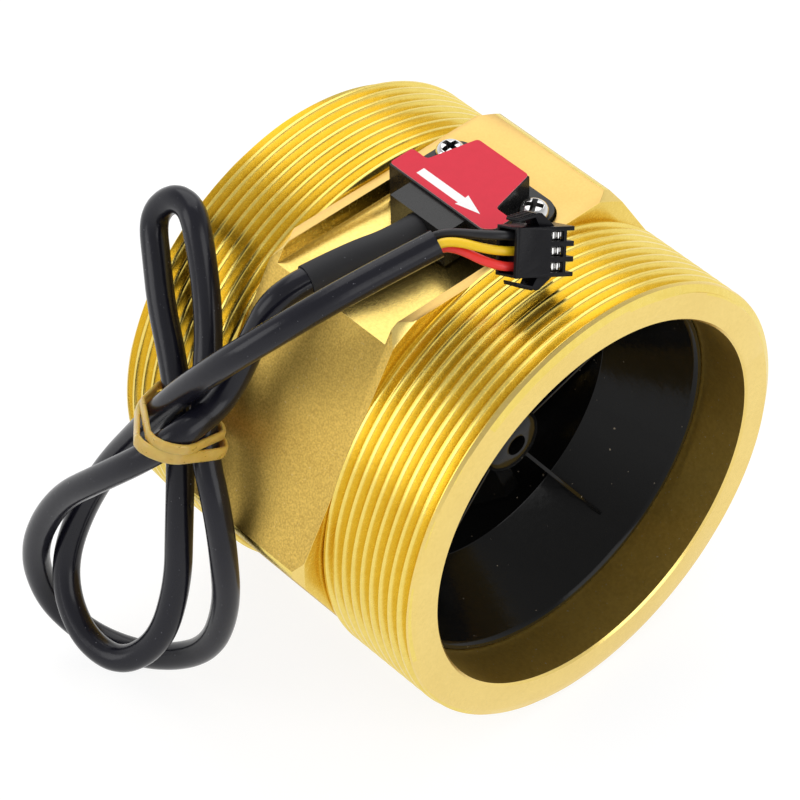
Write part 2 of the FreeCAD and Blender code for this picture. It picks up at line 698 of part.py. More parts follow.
def make_gasket():
    body = new_body("housing_gasket")
    extrude(body, "Pad", polygon(body, "gasket_ears", "XY_Plane",
                                 ear_outline("Sizes.gasket_margin"), FLOOR),
            "Sizes.gasket_thickness")
    round_edges(body, "Fillet",
                "Sizes.pocket_corner_radius - Sizes.housing_clearance - Sizes.gasket_margin",
                lambda edge: along(edge, Vector(0, 0, 1)) and edge.CenterOfMass.y > size("ear_start")
                + 2 * size("gasket_margin"))
    extrude(body, "Pad", polygon(body, "gasket_crown", "XY_Plane", crown_outline("Sizes.gasket_margin"),
                                 FLOOR),
            "Sizes.gasket_thickness")
    hole = circle(body, "gasket_hole", "XY_Plane", "Sizes.screw_spacing / 2", "Sizes.screw_row",
                  "Sizes.screw_shank_radius + 0.4", FLOOR)
    mirror(body, [extrude(body, "Pocket", hole, "2 * Sizes.gasket_thickness", reverse=True)],
           "YZ_Plane")
    return body


def make_board():
    body = new_body("circuit_board")
    side = "(Sizes.cavity_half_width - Sizes.board_margin)"
    outline = polygon(body, "board", "XY_Plane", [
        ("-" + side, "Sizes.cavity_front + Sizes.board_margin"),
        (side, "Sizes.cavity_front + Sizes.board_margin"),
        (side, "Sizes.cavity_back - Sizes.board_margin"),
        ("-" + side, "Sizes.cavity_back - Sizes.board_margin"),
    ], "%s + Sizes.chip_thickness + Sizes.end_play" % HOUSING_BASE)
    extrude(body, "Pad", outline, "Sizes.board_thickness")
    return body


def make_chip():
    body = new_body("hall_chip")
    outline = polygon(body, "chip", "XY_Plane", [
        ("-Sizes.chip_width / 2", "-Sizes.chip_depth / 2"),
        ("Sizes.chip_width / 2", "-Sizes.chip_depth / 2"),
        ("Sizes.chip_width / 2", "Sizes.chip_depth / 2"),
        ("-Sizes.chip_width / 2", "Sizes.chip_depth / 2"),
    ], "%s + Sizes.end_play" % HOUSING_BASE)
    extrude(body, "Pad", outline, "Sizes.chip_thickness")
    return body


def make_label():
    body = new_body("sensor_label")
    outline = polygon(body, "label", "XY_Plane", crown_outline("Sizes.label_margin"),
                      "%s + Sizes.housing_height" % FLOOR)
    extrude(body, "Pad", outline, "Sizes.label_thickness")
    return body


def make_screw(label, side):
    body = new_body(label)
    seat = "(%s + Sizes.ear_top)" % FLOOR
    head = circle(body, "head", "XY_Plane", "%d * Sizes.screw_spacing / 2" % side,
                  "Sizes.screw_row", "Sizes.screw_head_radius", seat)
    extrude(body, "Pad", head, "Sizes.screw_head_height")
    top = channel_floor + size("ear_top") + size("screw_head_height")
    round_edges(body, "Fillet", "Sizes.screw_head_height / 2.2",
                lambda edge: abs(edge.BoundBox.ZMin - top) < 0.01)
    shank = circle(body, "shank", "XY_Plane", "%d * Sizes.screw_spacing / 2" % side,
                   "Sizes.screw_row", "Sizes.screw_shank_radius", seat)
    extrude(body, "Pad", shank, "Sizes.screw_length",
            reverse=True)
    for name, across, up in (("slot_a", "Sizes.screw_recess_length", "Sizes.screw_recess_width"),
                             ("slot_b", "Sizes.screw_recess_width", "Sizes.screw_recess_length")):
        middle = "%d * Sizes.screw_spacing / 2" % side
        slot = polygon(body, name, "XY_Plane", [
            ("%s - %s / 2" % (middle, across), "Sizes.screw_row - %s / 2" % up),
            ("%s + %s / 2" % (middle, across), "Sizes.screw_row - %s / 2" % up),
            ("%s + %s / 2" % (middle, across), "Sizes.screw_row + %s / 2" % up),
            ("%s - %s / 2" % (middle, across), "Sizes.screw_row + %s / 2" % up),
        ], "%s + Sizes.screw_head_height - Sizes.screw_recess_depth" % seat)
        extrude(body, "Pocket", slot, "2 * Sizes.screw_recess_depth", reverse=True)
    return body


# Lead: sleeve, cable, tie and cores


def hull(points):
    """Corners of the smallest convex outline round points in a plane."""
    points = sorted(set(points))
    chains = []
    for run in (points, points[::-1]):
        chain = []
        for x, y in run:
            while len(chain) > 1 and ((chain[-1][0] - chain[-2][0]) * (y - chain[-2][1])
                                      <= (chain[-1][1] - chain[-2][1]) * (x - chain[-2][0])):
                chain.pop()
            chain.append((x, y))
        chains += chain[:-1]
    return chains


def make_tie(strands):
    """A rubber band that lies taut round the four strands."""
    way = Vector(*TIE_DIRECTION).normalize()
    middle = drawn_at(*TIE_CENTRE)
    level = Vector(1, 0, 0).cross(way).normalize()
    across = level.cross(way)
    width = size("band_width")
    spots = []
    for shift in (-width / 2, 0, width / 2):
        for wire in strands.slice(way, middle.dot(way) + shift):
            if (wire.CenterOfMass - middle).Length < TIE_SPAN:
                for point in wire.discretize(16):
                    spot = point - middle
                    spots.append((round(spot.dot(level), 3), round(spot.dot(across), 3)))
    base = middle - way * (width / 2)
    corners = [base + level * x + across * y for x, y in hull(spots)]
    face = Part.Face(Part.makePolygon(corners + corners[:1]))
    inner = face.makeOffset2D(size("band_clearance"), 2)
    outer = face.makeOffset2D(size("band_clearance") + size("band_thickness"), 2)
    ring = outer.extrude(way * width).cut(inner.extrude(way * width))
    return plain_shape("rubber_band", ring.Solids[0])


def make_cores():
    """The three cores, from the jacket's end to the bottom of the plug's rear recess."""
    end = drawn_at(*CABLE_ROUTE[-1])
    ahead = (end - drawn_at(*CABLE_ROUTE[-2])).normalize()
    forward = Vector(*PLUG_FORWARD).normalize()
    down = forward.cross(Vector(*PLUG_NEAR_SIDE)).normalize()
    level = (down - ahead * down.dot(ahead)).normalize()
    rise = level.cross(ahead).normalize()
    rear = drawn_at(*PLUG_CENTRE) - forward * (size("plug_length") / 2 - size("plug_rear_recess"))
    for i, name in enumerate(("black_wire", "yellow_wire", "red_wire")):
        angle = math.radians(CORE_ANGLES[i])
        start = end + (level * math.cos(angle) + rise * math.sin(angle)) * size("core_spread")
        stop = rear + down * (size("contact_pitch") * (i - 1))
        leave = start + ahead * CORE_LEAD_OUT
        enter = stop - forward * (CORE_LEAD_OUT + size("plug_rear_recess"))
        tube(name, [start, leave, enter, stop], size("core_radius"))


# Plug: own frame with X forward, Y towards its near side and Z down its row of contacts


def place_on_plug(body):
    forward = Vector(*PLUG_FORWARD)
    near = Vector(*PLUG_NEAR_SIDE)
    turn = Rotation(forward, near, forward.cross(near), "XYZ")
    body.setExpression("Placement.Base.z", None)
    body.Placement = Placement(drawn_at(*PLUG_CENTRE) + Vector(0, 0, axis_height), turn)


def block(body, name, plane, across, up, offset, length, kind="Pad", reverse=False):
    """A box-shaped pad or pocket between two pairs of expressions."""
    outline = polygon(body, name, plane, [
        (across[0], up[0]), (across[1], up[0]), (across[1], up[1]), (across[0], up[1])], offset)
    return extrude(body, kind, outline, length, reverse=reverse)


def make_plug():
    body = new_body("connector_housing")
    half = "Sizes.plug_length / 2"
    wide = "Sizes.plug_width / 2"
    deep = "Sizes.plug_depth / 2"
    block(body, "plug_block", "XZ_Plane", ("-" + half, half), ("-" + wide, wide), "-" + deep,
          "Sizes.plug_depth")
    block(body, "rear_recess", "YZ_Plane", ("-%s + Sizes.plug_wall" % deep,
                                            "%s - Sizes.plug_wall" % deep),
          ("-%s + Sizes.plug_wall / 2" % wide, "%s - Sizes.plug_wall / 2" % wide), "-" + half,
          "Sizes.plug_rear_recess", kind="Pocket", reverse=True)
    for i in (-1, 0, 1):
        middle = "%d * Sizes.contact_pitch" % i
        block(body, "slot_%d" % (i + 2), "XZ_Plane",
              ("%s - Sizes.plug_slot_length" % half, "%s + 1" % half),
              ("%s - Sizes.plug_slot_width / 2" % middle, "%s + Sizes.plug_slot_width / 2" % middle),
              "-%s - 1" % deep, "Sizes.plug_slot_depth + 1", kind="Pocket", reverse=True)
    for i, side in enumerate((-1, 1)):
        edge = "%d * %s" % (side, wide)
        tip = "%d * (%s + Sizes.latch_height)" % (side, wide)
        latch = polygon(body, "latch_%d" % (i + 1), "XZ_Plane", [
            ("-%s + 1" % half, tip + " - %d * 0.6" % side),
            ("-%s + 1" % half, tip),
            ("-0.2", tip),
            ("%s - 3.4" % half, edge),
            ("-1.6", edge),
            ("-1.6", tip + " - %d * 0.6" % side),
        ], "-Sizes.latch_half_width")
        extrude(body, "Pad", latch, "2 * Sizes.latch_half_width")
    place_on_plug(body)
    return body


def make_terminals():
    body = new_body("connector_terminals")
    start = "(Sizes.plug_length / 2 - Sizes.plug_slot_length)"
    for i in (-1, 0, 1):
        middle = "%d * Sizes.contact_pitch" % i
        block(body, "terminal_%d" % (i + 2), "XZ_Plane",
              (start, "%s + Sizes.terminal_length" % start),
              ("%s - Sizes.terminal_width / 2" % middle, "%s + Sizes.terminal_width / 2" % middle),
              "-Sizes.plug_depth / 2 + Sizes.plug_slot_depth - Sizes.terminal_height",
              "Sizes.terminal_height")
    place_on_plug(body)
    return body


nodes = [
    make_meter_body(),
    make_guide("outlet_guide", 0),
    make_guide("inlet_guide", 180),
    make_guide_seal("front_guide_seal", 1),
    make_guide_seal("rear_guide_seal", -1),
    make_rotor(),
    make_magnets(),
    make_shaft(),
    make_bush("front_bearing", 1),
    make_bush("rear_bearing", -1),
    make_washer("front_thrust_washer", 1),
    make_washer("rear_thrust_washer", -1),
    make_housing(),
    make_gasket(),
    make_board(),
    make_chip(),
    make_label(),
    make_screw("front_screw", 1),
    make_screw("rear_screw", -1),
    make_plug(),
    make_terminals(),
]
tube("heat_shrink_sleeve", [drawn_at(*point) for point in SLEEVE_ROUTE], size("sleeve_radius"))
cable = tube("signal_cable", [drawn_at(*point) for point in CABLE_ROUTE], size("cable_radius"))
strands = cable.Shape.copy()
strands.Placement = Placement()
make_tie(strands)
make_cores()
nodes += [item for item in doc.Objects if item.TypeId == "Part::Feature"]
doc.recompute()

for item in doc.Objects:
    if "Invalid" in item.State or "Error" in item.State:
        raise RuntimeError("%s did not build: %s" % (item.Label, item.State))
os.makedirs("parts", exist_ok=True)
for node in nodes:
    if node.Shape.isNull() or not node.Shape.isValid() or not node.Shape.Solids:
        raise RuntimeError("%s has no valid solid" % node.Label)
    node.Shape.exportStep("parts/%s.step" % node.Label)
    print("%-22s %d solids, %9.1f mm3" % (node.Label, len(node.Shape.Solids), node.Shape.Volume))
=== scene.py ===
import json
import math

import bmesh
import bpy
import numpy as np
from mathutils import Matrix, Vector


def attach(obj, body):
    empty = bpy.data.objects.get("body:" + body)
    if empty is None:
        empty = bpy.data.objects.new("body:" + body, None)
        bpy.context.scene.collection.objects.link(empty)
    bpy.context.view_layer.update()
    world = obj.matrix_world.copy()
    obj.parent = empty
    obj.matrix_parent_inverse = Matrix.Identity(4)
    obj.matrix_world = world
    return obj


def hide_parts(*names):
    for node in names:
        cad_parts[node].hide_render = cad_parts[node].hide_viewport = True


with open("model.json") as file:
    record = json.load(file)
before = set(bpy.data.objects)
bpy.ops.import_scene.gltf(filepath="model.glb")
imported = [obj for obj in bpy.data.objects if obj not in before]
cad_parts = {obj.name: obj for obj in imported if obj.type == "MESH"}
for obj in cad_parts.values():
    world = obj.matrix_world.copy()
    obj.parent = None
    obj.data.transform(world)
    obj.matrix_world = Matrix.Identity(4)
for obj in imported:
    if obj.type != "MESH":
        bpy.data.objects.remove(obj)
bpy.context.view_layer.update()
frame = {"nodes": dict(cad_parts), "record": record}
MM = 0.001

# Sizes of the meter, in metres, as the part's source has them
AXIS_HEIGHT = 43.94 * MM
HALF_LENGTH = 37.4 * MM
CREST_RADIUS = 43.94 * MM
THREAD_DEPTH = 1.479 * MM
THREAD_PITCH = 2.309 * MM
# Places and radii of the turned end, from the lead-in over the small bevel to the end face
END_PROFILE = np.array([(36.1, 43.94), (37.05, 43.5), (37.4, 42.1)]) * MM
BORE_RADIUS = 36.95 * MM
HEXAGON_APOTHEM = 43.0 * MM
CORNER_RADIUS = 49.2 * MM
BLOCK_HALF = 15.5 * MM
CHANNEL_HALF = 13.6 * MM
CHANNEL_FLOOR = 39.7 * MM
POCKET_END = 15.1 * MM
POCKET_ROUND = 4.0 * MM


def at(x, y, z):
    """A point given in millimetres from the middle of the bore axis."""
    return Vector((x * MM, y * MM, z * MM + AXIS_HEIGHT))


# Camera, at the photograph's angle

def aim_camera(azimuth, elevation, roll, distance, focal_pixels, axis_pixel):
    a, e, turn = (math.radians(v) for v in (azimuth, elevation, roll))
    back = Vector((math.sin(a) * math.cos(e), -math.cos(a) * math.cos(e), math.sin(e)))
    level = Vector((math.cos(a), math.sin(a), 0))
    rise = back.cross(level)
    right = level * math.cos(turn) + rise * math.sin(turn)
    up = rise * math.cos(turn) - level * math.sin(turn)
    data = bpy.data.cameras.new("camera")
    data.sensor_width = 36
    data.lens = focal_pixels * 36 / 800
    data.shift_x = (400 - axis_pixel[0]) / 800
    data.shift_y = (axis_pixel[1] - 400) / 800
    data.clip_start = 0.05
    data.clip_end = 20
    camera = bpy.data.objects.new("camera", data)
    bpy.context.scene.collection.objects.link(camera)
    turned = Matrix((right, up, back)).transposed().to_4x4()
    camera.matrix_world = Matrix.Translation(at(0, 0, 0) + back * distance * MM) @ turned
    bpy.context.scene.camera = camera


aim_camera(47.7, 44.81, -0.67, 746.48, 4203.7, (449.36, 394.43))


# Shader building

class Value:
    """A shader socket that takes part in Python expressions."""

    def __init__(self, tree, socket):
        self.tree = tree
        self.socket = socket

    def math(self, operation, *others):
        inputs = {i: other for i, other in enumerate((self, *others))}
        return self.tree.add("ShaderNodeMath", {"operation": operation}, inputs)

    def __add__(self, other):
        return self.math("ADD", other)

    def __radd__(self, other):
        return self.math("ADD", other)

    def __mul__(self, other):
        return self.math("MULTIPLY", other)

    def __rmul__(self, other):
        return self.math("MULTIPLY", other)

    def __sub__(self, other):
        return self.math("SUBTRACT", other)

    def __rsub__(self, other):
        return (self * -1) + other


class Nodes:
    """A node tree whose nodes come from one method."""

    def __init__(self, tree):
        self.nodes = tree.nodes
        self.links = tree.links

    def add(self, kind, settings=None, inputs=None, output=0):
        node = self.nodes.new(kind)
        for name, value in (settings or {}).items():
            setattr(node, name, value)
        for name, value in (inputs or {}).items():
            if isinstance(value, Value):
                self.links.new(value.socket, node.inputs[name])
            else:
                node.inputs[name].default_value = value
        return Value(self, node.outputs[output]) if node.outputs else None

    def looked_at(self):
        """1 for the rays of the camera, of reflections and through clear pieces, else 0."""
        rays = [self.add("ShaderNodeLightPath", output=name)
                for name in ("Is Camera Ray", "Is Glossy Ray", "Is Transmission Ray")]
        return rays[0].math("MAXIMUM", rays[1].math("MAXIMUM", rays[2]))


class Finish(Nodes):
    """A material with its Principled shader."""

    def __init__(self, name, **sockets):
        self.material = bpy.data.materials.new(name)
        self.material.use_nodes = True
        super().__init__(self.material.node_tree)
        self.shader = self.nodes["Principled BSDF"]
        for socket, value in sockets.items():
            self.set(socket.replace("_", " "), value)
        self.place = self.add("ShaderNodeTexCoord", output="Object")

    def set(self, socket, value):
        if isinstance(value, Value):
            self.links.new(value.socket, self.shader.inputs[socket])
        elif isinstance(value, tuple) and len(value) == 3:
            self.shader.inputs[socket].default_value = (*value, 1)
        else:
            self.shader.inputs[socket].default_value = value

    def noise(self, scale, detail, roughness, place=None):
        return self.add("ShaderNodeTexNoise", {}, {
            "Vector": place or self.place, "Scale": scale, "Detail": detail,
            "Roughness": roughness})

    def stretched(self, scale):
        """Object coordinates scaled by a different amount each way."""
        return self.add("ShaderNodeMapping", {}, {"Vector": self.place, "Scale": scale})

    def step(self, value, low, high):
        """0 below low, 1 above high and smooth between."""
        return self.add("ShaderNodeMapRange", {"interpolation_type": "SMOOTHSTEP"}, {
            "Value": value, "From Min": low, "From Max": high})

    def mix(self, factor, first, second):
        def colour(c):
            return (*c, 1) if isinstance(c, tuple) and len(c) == 3 else c
        return self.add("ShaderNodeMix", {"data_type": "RGBA"},
                        {0: factor, 6: colour(first), 7: colour(second)}, output=2)

    def bump(self, height, distance):
        return self.add("ShaderNodeBump", {}, {"Height": height, "Distance": distance})


def grey(v):
    return (v, v, v)


# Gold anodised aluminium, one finish for each way that its surfaces are cut

def gold(name, dark, light, roughness, grain, grain_depth, turned=0.0, specks=0.0, spread=0.1,
         cloud=0.5):
    finish = Finish(name, Metallic=1.0)
    broad = finish.noise(60, 3, 0.55)
    fine = finish.noise(grain, 3, 0.6)
    tone = finish.step(broad * cloud + fine * (1 - cloud), 0.3, 0.72)
    colour = finish.mix(tone, dark, light)
    if specks:
        dust = finish.step(finish.noise(2600, 1, 0.4), 0.73, 0.79) * specks
        colour = finish.mix(dust, colour, (1.0, 0.93, 0.7))
    finish.set("Base Color", colour)
    finish.set("Roughness", (fine - 0.5) * spread + roughness)
    height = fine
    if turned:
        lines = finish.noise(1.0, 2, 0.6, finish.stretched((9000, 60, 60)))
        height = fine * (1 - turned) + lines * turned
    finish.set("Normal", finish.bump(height, grain_depth))
    return finish.material


gold_thread = gold("gold_thread", (0.80, 0.60, 0.13), (0.88, 0.69, 0.18), 0.26, 900, 0.000004, 0.8)
gold_face = gold("gold_face", (0.80, 0.59, 0.18), (0.86, 0.65, 0.21), 0.24, 1400, 0.000004, 0.0, 0.15)
gold_bore = gold("gold_bore", (0.72, 0.48, 0.10), (0.90, 0.64, 0.16), 0.44, 1500, 0.00003, 0.55, 0.8)
gold_blasted = gold("gold_blasted", (0.47, 0.31, 0.07), (0.74, 0.52, 0.13), 0.52, 2800, 0.00005,
                    specks=0.25, spread=0.16, cloud=0.2)
gold_top = gold("gold_top", (0.62, 0.40, 0.125), (0.70, 0.47, 0.155), 0.38, 2400, 0.00001)
gold_floor = gold("gold_floor", (0.72, 0.50, 0.13), (0.88, 0.66, 0.20), 0.24, 1800, 0.00001, 0.3)
gold_end = gold("gold_end", (0.74, 0.52, 0.10), (0.86, 0.64, 0.15), 0.26, 1500, 0.000008)


# Plain helpers for meshes

def mesh_object(name, mesh, *materials):
    piece = bpy.data.objects.new(name, mesh)
    bpy.context.scene.collection.objects.link(piece)
    for material in materials:
        mesh.materials.append(material)
    return piece


def solid(name, edit):
    """The edited form as an object, with its faces turned outwards."""
    bmesh.ops.recalc_face_normals(edit, faces=edit.faces)
    mesh = bpy.data.meshes.new(name)
    edit.to_mesh(mesh)
    edit.free()
    return mesh_object(name, mesh)


def smooth_by_angle(mesh, degrees):
    """Smooth shading apart from edges sharper than the angle."""
    edit = bmesh.new()
    edit.from_mesh(mesh)
    limit = math.radians(degrees)
    for face in edit.faces:
        face.smooth = True
    for edge in edit.edges:
        edge.smooth = edge.is_manifold and edge.calc_face_angle(0) < limit
    edit.to_mesh(mesh)
    edit.free()


def evaluated(piece):
    """The piece with its modifiers as a plain mesh, in place of its old one."""
    bpy.context.view_layer.update()
    graph = bpy.context.evaluated_depsgraph_get()
    mesh = bpy.data.meshes.new_from_object(piece.evaluated_get(graph))
    piece.modifiers.clear()
    old = piece.data
    piece.data = mesh
    if old.users == 0:
        (bpy.data.meshes if isinstance(old, bpy.types.Mesh) else bpy.data.curves).remove(old)
    return piece


def carve(piece, cutters, operation="DIFFERENCE"):
    for cutter in cutters:
        change = piece.modifiers.new("carve", "BOOLEAN")
        change.operation = operation
        change.solver = "EXACT"
        change.object = cutter
    evaluated(piece)
    for cutter in cutters:
        bpy.data.objects.remove(cutter)
    return piece


def bevel(piece, width, segments=2, degrees=35):
    change = piece.modifiers.new("bevel", "BEVEL")
    change.width = width
    change.segments = segments
    change.limit_method = "ANGLE"
    change.angle_limit = math.radians(degrees)
    change.use_clamp_overlap = True
    evaluated(piece)
    smooth_by_angle(piece.data, 32)
    return piece


def prism(name, outline, low, high, axis="Z"):
    """A closed prism over an outline, along one axis."""
    edit = bmesh.new()
    place = {"Z": lambda a, b, c: (a, b, c), "X": lambda a, b, c: (c, a, b),
             "Y": lambda a, b, c: (a, c, b)}[axis]
    bottom = [edit.verts.new(place(a, b, low)) for a, b in outline]
    top = [edit.verts.new(place(a, b, high)) for a, b in outline]
    edit.faces.new(bottom)
    edit.faces.new(top)
    for i in range(len(outline)):
        j = (i + 1) % len(outline)
        edit.faces.new((bottom[i], bottom[j], top[j], top[i]))
    return solid(name, edit)


def lathe(name, rows, columns):
    """A closed surface of rows of (x, radius) round the bore axis. A row may change along the turn."""
    turns = [math.tau * j / columns for j in range(columns + 1)]
    edit = bmesh.new()
    grid = []
    for row in rows:
        ring = []
        for turn in turns:
            x, radius = row(turn) if callable(row) else row
            ring.append(edit.verts.new((x, radius * math.cos(turn),
                                        radius * math.sin(turn) + AXIS_HEIGHT)))
        grid.append(ring)
    for ring, following in zip(grid, grid[1:] + grid[:1]):
        for j in range(columns):
            edit.faces.new((ring[j], ring[j + 1], following[j + 1], following[j]))
    bmesh.ops.remove_doubles(edit, verts=edit.verts, dist=1e-7)
    bmesh.ops.dissolve_degenerate(edit, edges=edit.edges, dist=1e-7)
    return solid(name, edit)


def repeat_group():
    """Geometry Nodes that repeat an object, each copy moved and turned on from the last."""
    group = bpy.data.node_groups.new("repeat", "GeometryNodeTree")
    face = group.interface
    for label, kind in (("Source", "Object"), ("Count", "Int"), ("Step", "Vector"),
                        ("Turn", "Vector"), ("Material", "Material")):
        face.new_socket(label, in_out="INPUT", socket_type="NodeSocket" + kind)
    face.new_socket("Geometry", in_out="OUTPUT", socket_type="NodeSocketGeometry")

    tree = Nodes(group)
    given = {label: tree.add("NodeGroupInput", output=label)
             for label in ("Source", "Count", "Step", "Turn", "Material")}
    line = tree.add("GeometryNodeMeshLine", {}, {"Count": given["Count"], "Offset": given["Step"]})
    source = tree.add("GeometryNodeObjectInfo", {}, {"Object": given["Source"]}, "Geometry")
    angle = tree.add("ShaderNodeVectorMath", {"operation": "SCALE"},
                     {"Vector": given["Turn"], "Scale": tree.add("GeometryNodeInputIndex")})
    copies = tree.add("GeometryNodeInstanceOnPoints", {},
                      {"Points": line, "Instance": source, "Rotation": angle})
    real = tree.add("GeometryNodeRealizeInstances", {}, {"Geometry": copies})
    dressed = tree.add("GeometryNodeSetMaterial", {},
                       {"Geometry": real, "Material": given["Material"]})
    tree.add("NodeGroupOutput", {}, {"Geometry": dressed})
    return group


REPEAT = repeat_group()


def repeated(name, source, count, material, step=(0, 0, 0), turn=(0, 0, 0)):
    """A row or ring of copies of a piece, as one mesh in its place."""
    piece = mesh_object(name, bpy.data.meshes.new(name))
    change = piece.modifiers.new("repeat", "NODES")
    change.node_group = REPEAT
    named = {item.name: item.identifier for item in REPEAT.interface.items_tree
             if item.in_out == "INPUT"}
    for label, value in (("Source", source), ("Count", count), ("Step", step), ("Turn", turn),
                         ("Material", material)):
        change[named[label]] = value
    evaluated(piece)
    bpy.data.objects.remove(source)
    return piece


def cad_copy(name, node, material):
    """A CAD node's own mesh with its seams merged, shaded smooth."""
    mesh = frame["nodes"][node].data.copy()
    mesh.materials.clear()
    edit = bmesh.new()
    edit.from_mesh(mesh)
    bmesh.ops.remove_doubles(edit, verts=edit.verts, dist=2e-6)
    edit.to_mesh(mesh)
    edit.free()
    smooth_by_angle(mesh, 30)
    piece = mesh_object(name, mesh, material)
    return placed(piece, node)


def placed(piece, *nodes):
    """Let a piece stand for CAD nodes: put it on their body and hide the nodes."""
    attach(piece, BODY_OF[nodes[0]])
    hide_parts(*nodes)
    return piece


BODY_OF = {node: body for body, nodes in frame["record"]["behaviour"]["bodies"].items()
           for node in nodes}

# The barrel, with both threads cut as true helices

RIDGE = np.array([(0.0, 0.0), (0.19, 0.02), (0.73, 0.83), (0.82, 0.94), (0.93, 0.99), (1.155, 1.0),
                  (1.38, 0.99), (1.49, 0.94), (1.58, 0.83), (2.12, 0.02)]) * (MM, 1)
THREAD_START = 15.4 * MM


def thread_radius(x):
    """Radius of the thread's form at a place along the axis, before the lead-in."""
    place = x % THREAD_PITCH
    form = np.interp(place, np.append(RIDGE[:, 0], THREAD_PITCH), np.append(RIDGE[:, 1], 0.0))
    return CREST_RADIUS - THREAD_DEPTH * (1 - form)


def end_radius(x):
    """Radius of the turned end at a place along the axis."""
    return np.interp(x, END_PROFILE[:, 0], END_PROFILE[:, 1])


def thread_row(base, side):
    def row(turn):
        shift = side * THREAD_PITCH * turn / math.tau
        x = min(max(base + shift, THREAD_START), HALF_LENGTH)
        return side * x, float(min(thread_radius(x - shift), end_radius(x)))
    return row


def thread_rows(side):
    first = math.floor((THREAD_START - THREAD_PITCH) / THREAD_PITCH)
    last = math.ceil((HALF_LENGTH + THREAD_PITCH) / THREAD_PITCH)
    bases = [k * THREAD_PITCH + offset for k in range(first, last) for offset, _ in RIDGE]
    return [thread_row(base, side) for base in bases]


def make_barrel():
    inner = [(HALF_LENGTH, BORE_RADIUS + 0.4 * MM), (HALF_LENGTH - 0.4 * MM, BORE_RADIUS)]
    rows = thread_rows(1) + inner + [(-x, r) for x, r in inner[::-1]] + thread_rows(-1)[::-1]
    rows += [(-THREAD_START, 38.9 * MM), (THREAD_START, 38.9 * MM)]
    barrel = lathe("barrel", rows, 300)
    mesh = barrel.data
    for material in (gold_thread, gold_face, gold_bore):
        mesh.materials.append(material)
    for face in mesh.polygons:
        x, y, z = face.center
        radius = math.hypot(y, z - AXIS_HEIGHT)
        if abs(x) > END_PROFILE[0, 0] and radius > BORE_RADIUS:
            turned = radius > end_radius(abs(x)) - 0.06 * MM or radius < END_PROFILE[2, 1]
            face.material_index = 1 if turned else 0
        elif radius < BORE_RADIUS + 0.01 * MM:
            face.material_index = 2
    smooth_by_angle(mesh, 24)
    return barrel


def rounded_pocket():
    """Outline of the channel: open towards the near side, with round corners at its far end."""
    outline = [(-CHANNEL_HALF, -80 * MM), (CHANNEL_HALF, -80 * MM)]
    for centre, start in ((CHANNEL_HALF - POCKET_ROUND, 0), (POCKET_ROUND - CHANNEL_HALF, 90)):
        for k in range(9):
            turn = math.radians(start + k * 11.25)
            outline.append((centre + POCKET_ROUND * math.cos(turn),
                            POCKET_END - POCKET_ROUND + POCKET_ROUND * math.sin(turn)))
    return outline


def circle_outline(x, y, radius, count=32):
    return [(x + radius * math.cos(math.tau * k / count), y + radius * math.sin(math.tau * k / count))
            for k in range(count)]


def make_block():
    reach = HEXAGON_APOTHEM / math.cos(math.radians(30))
    outline = [(reach * math.cos(math.radians(a)), reach * math.sin(math.radians(a)) + AXIS_HEIGHT)
               for a in range(0, 360, 60)]
    block = prism("hexagon_block", outline, -BLOCK_HALF, BLOCK_HALF, "X")
    drop = 1.3 * MM
    run = 1.8 * MM
    turned = lathe("turned_corners", [
        (-BLOCK_HALF, 10 * MM), (-BLOCK_HALF - 0.01 * MM, CORNER_RADIUS - drop),
        (run - BLOCK_HALF, CORNER_RADIUS), (BLOCK_HALF - run, CORNER_RADIUS),
        (BLOCK_HALF + 0.01 * MM, CORNER_RADIUS - drop), (BLOCK_HALF, 10 * MM)], 240)
    carve(block, [turned], "INTERSECT")
    floor = CHANNEL_FLOOR + AXIS_HEIGHT
    cutters = [prism("channel", rounded_pocket(), floor, floor + 20 * MM)]
    for x in (-10.4, 10.4):
        cutters.append(prism("tapped", circle_outline(x * MM, 10.4 * MM, 1.25 * MM),
                             floor - 2.8 * MM, floor + 1 * MM))
    cutters.append(lathe("barrel_seat", [(-20 * MM, 0.05 * MM), (-20 * MM, 38.5 * MM),
                                         (20 * MM, 38.5 * MM), (20 * MM, 0.05 * MM)], 240))
    carve(block, cutters)
    mesh = block.data
    mesh.materials.clear()
    for material in (gold_blasted, gold_end, gold_face, gold_top, gold_floor, gold_thread):
        mesh.materials.append(material)
    bevel(block, 0.12 * MM)
    for face in block.data.polygons:
        x, y, z = face.center
        z -= AXIS_HEIGHT
        normal = face.normal
        if abs(normal.x) > 0.95:
            face.material_index = 1
        elif abs(normal.x) > 0.3:
            face.material_index = 2
        elif normal.z > 0.95 and z > HEXAGON_APOTHEM - 0.2 * MM:
            face.material_index = 3
        elif normal.z > 0.95 and abs(z - CHANNEL_FLOOR) < 0.1 * MM:
            face.material_index = 4
        elif abs(math.hypot(y, z) - CORNER_RADIUS) < 0.1 * MM:
            face.material_index = 5
    return block


barrel = make_barrel()
block = make_block()
placed(barrel, "meter_body")
placed(block, "meter_body")


# Black moulded guides

def gloss_black(name, roughness, tone=0.006, dust=0.0, shine=0.35):
    finish = Finish(name, Specular_IOR_Level=shine)
    mottle = finish.noise(300, 3, 0.6)
    colour = finish.mix(mottle, grey(tone), grey(tone * 1.8))
    if dust:
        specks = finish.step(finish.noise(1100, 1, 0.3), 0.78, 0.84) * dust
        colour = finish.mix(specks, colour, (0.42, 0.36, 0.28))
    finish.set("Base Color", colour)
    fine = finish.noise(1200, 3, 0.6)
    finish.set("Roughness", (fine - 0.5) * 0.18 + roughness)
    finish.set("Normal", finish.bump(mottle, 0.00003))
    return finish.material


black_moulding = gloss_black("black_moulding", 0.14, 0.003, 0.7, 0.17)
black_housing = gloss_black("black_housing", 0.26, 0.008)


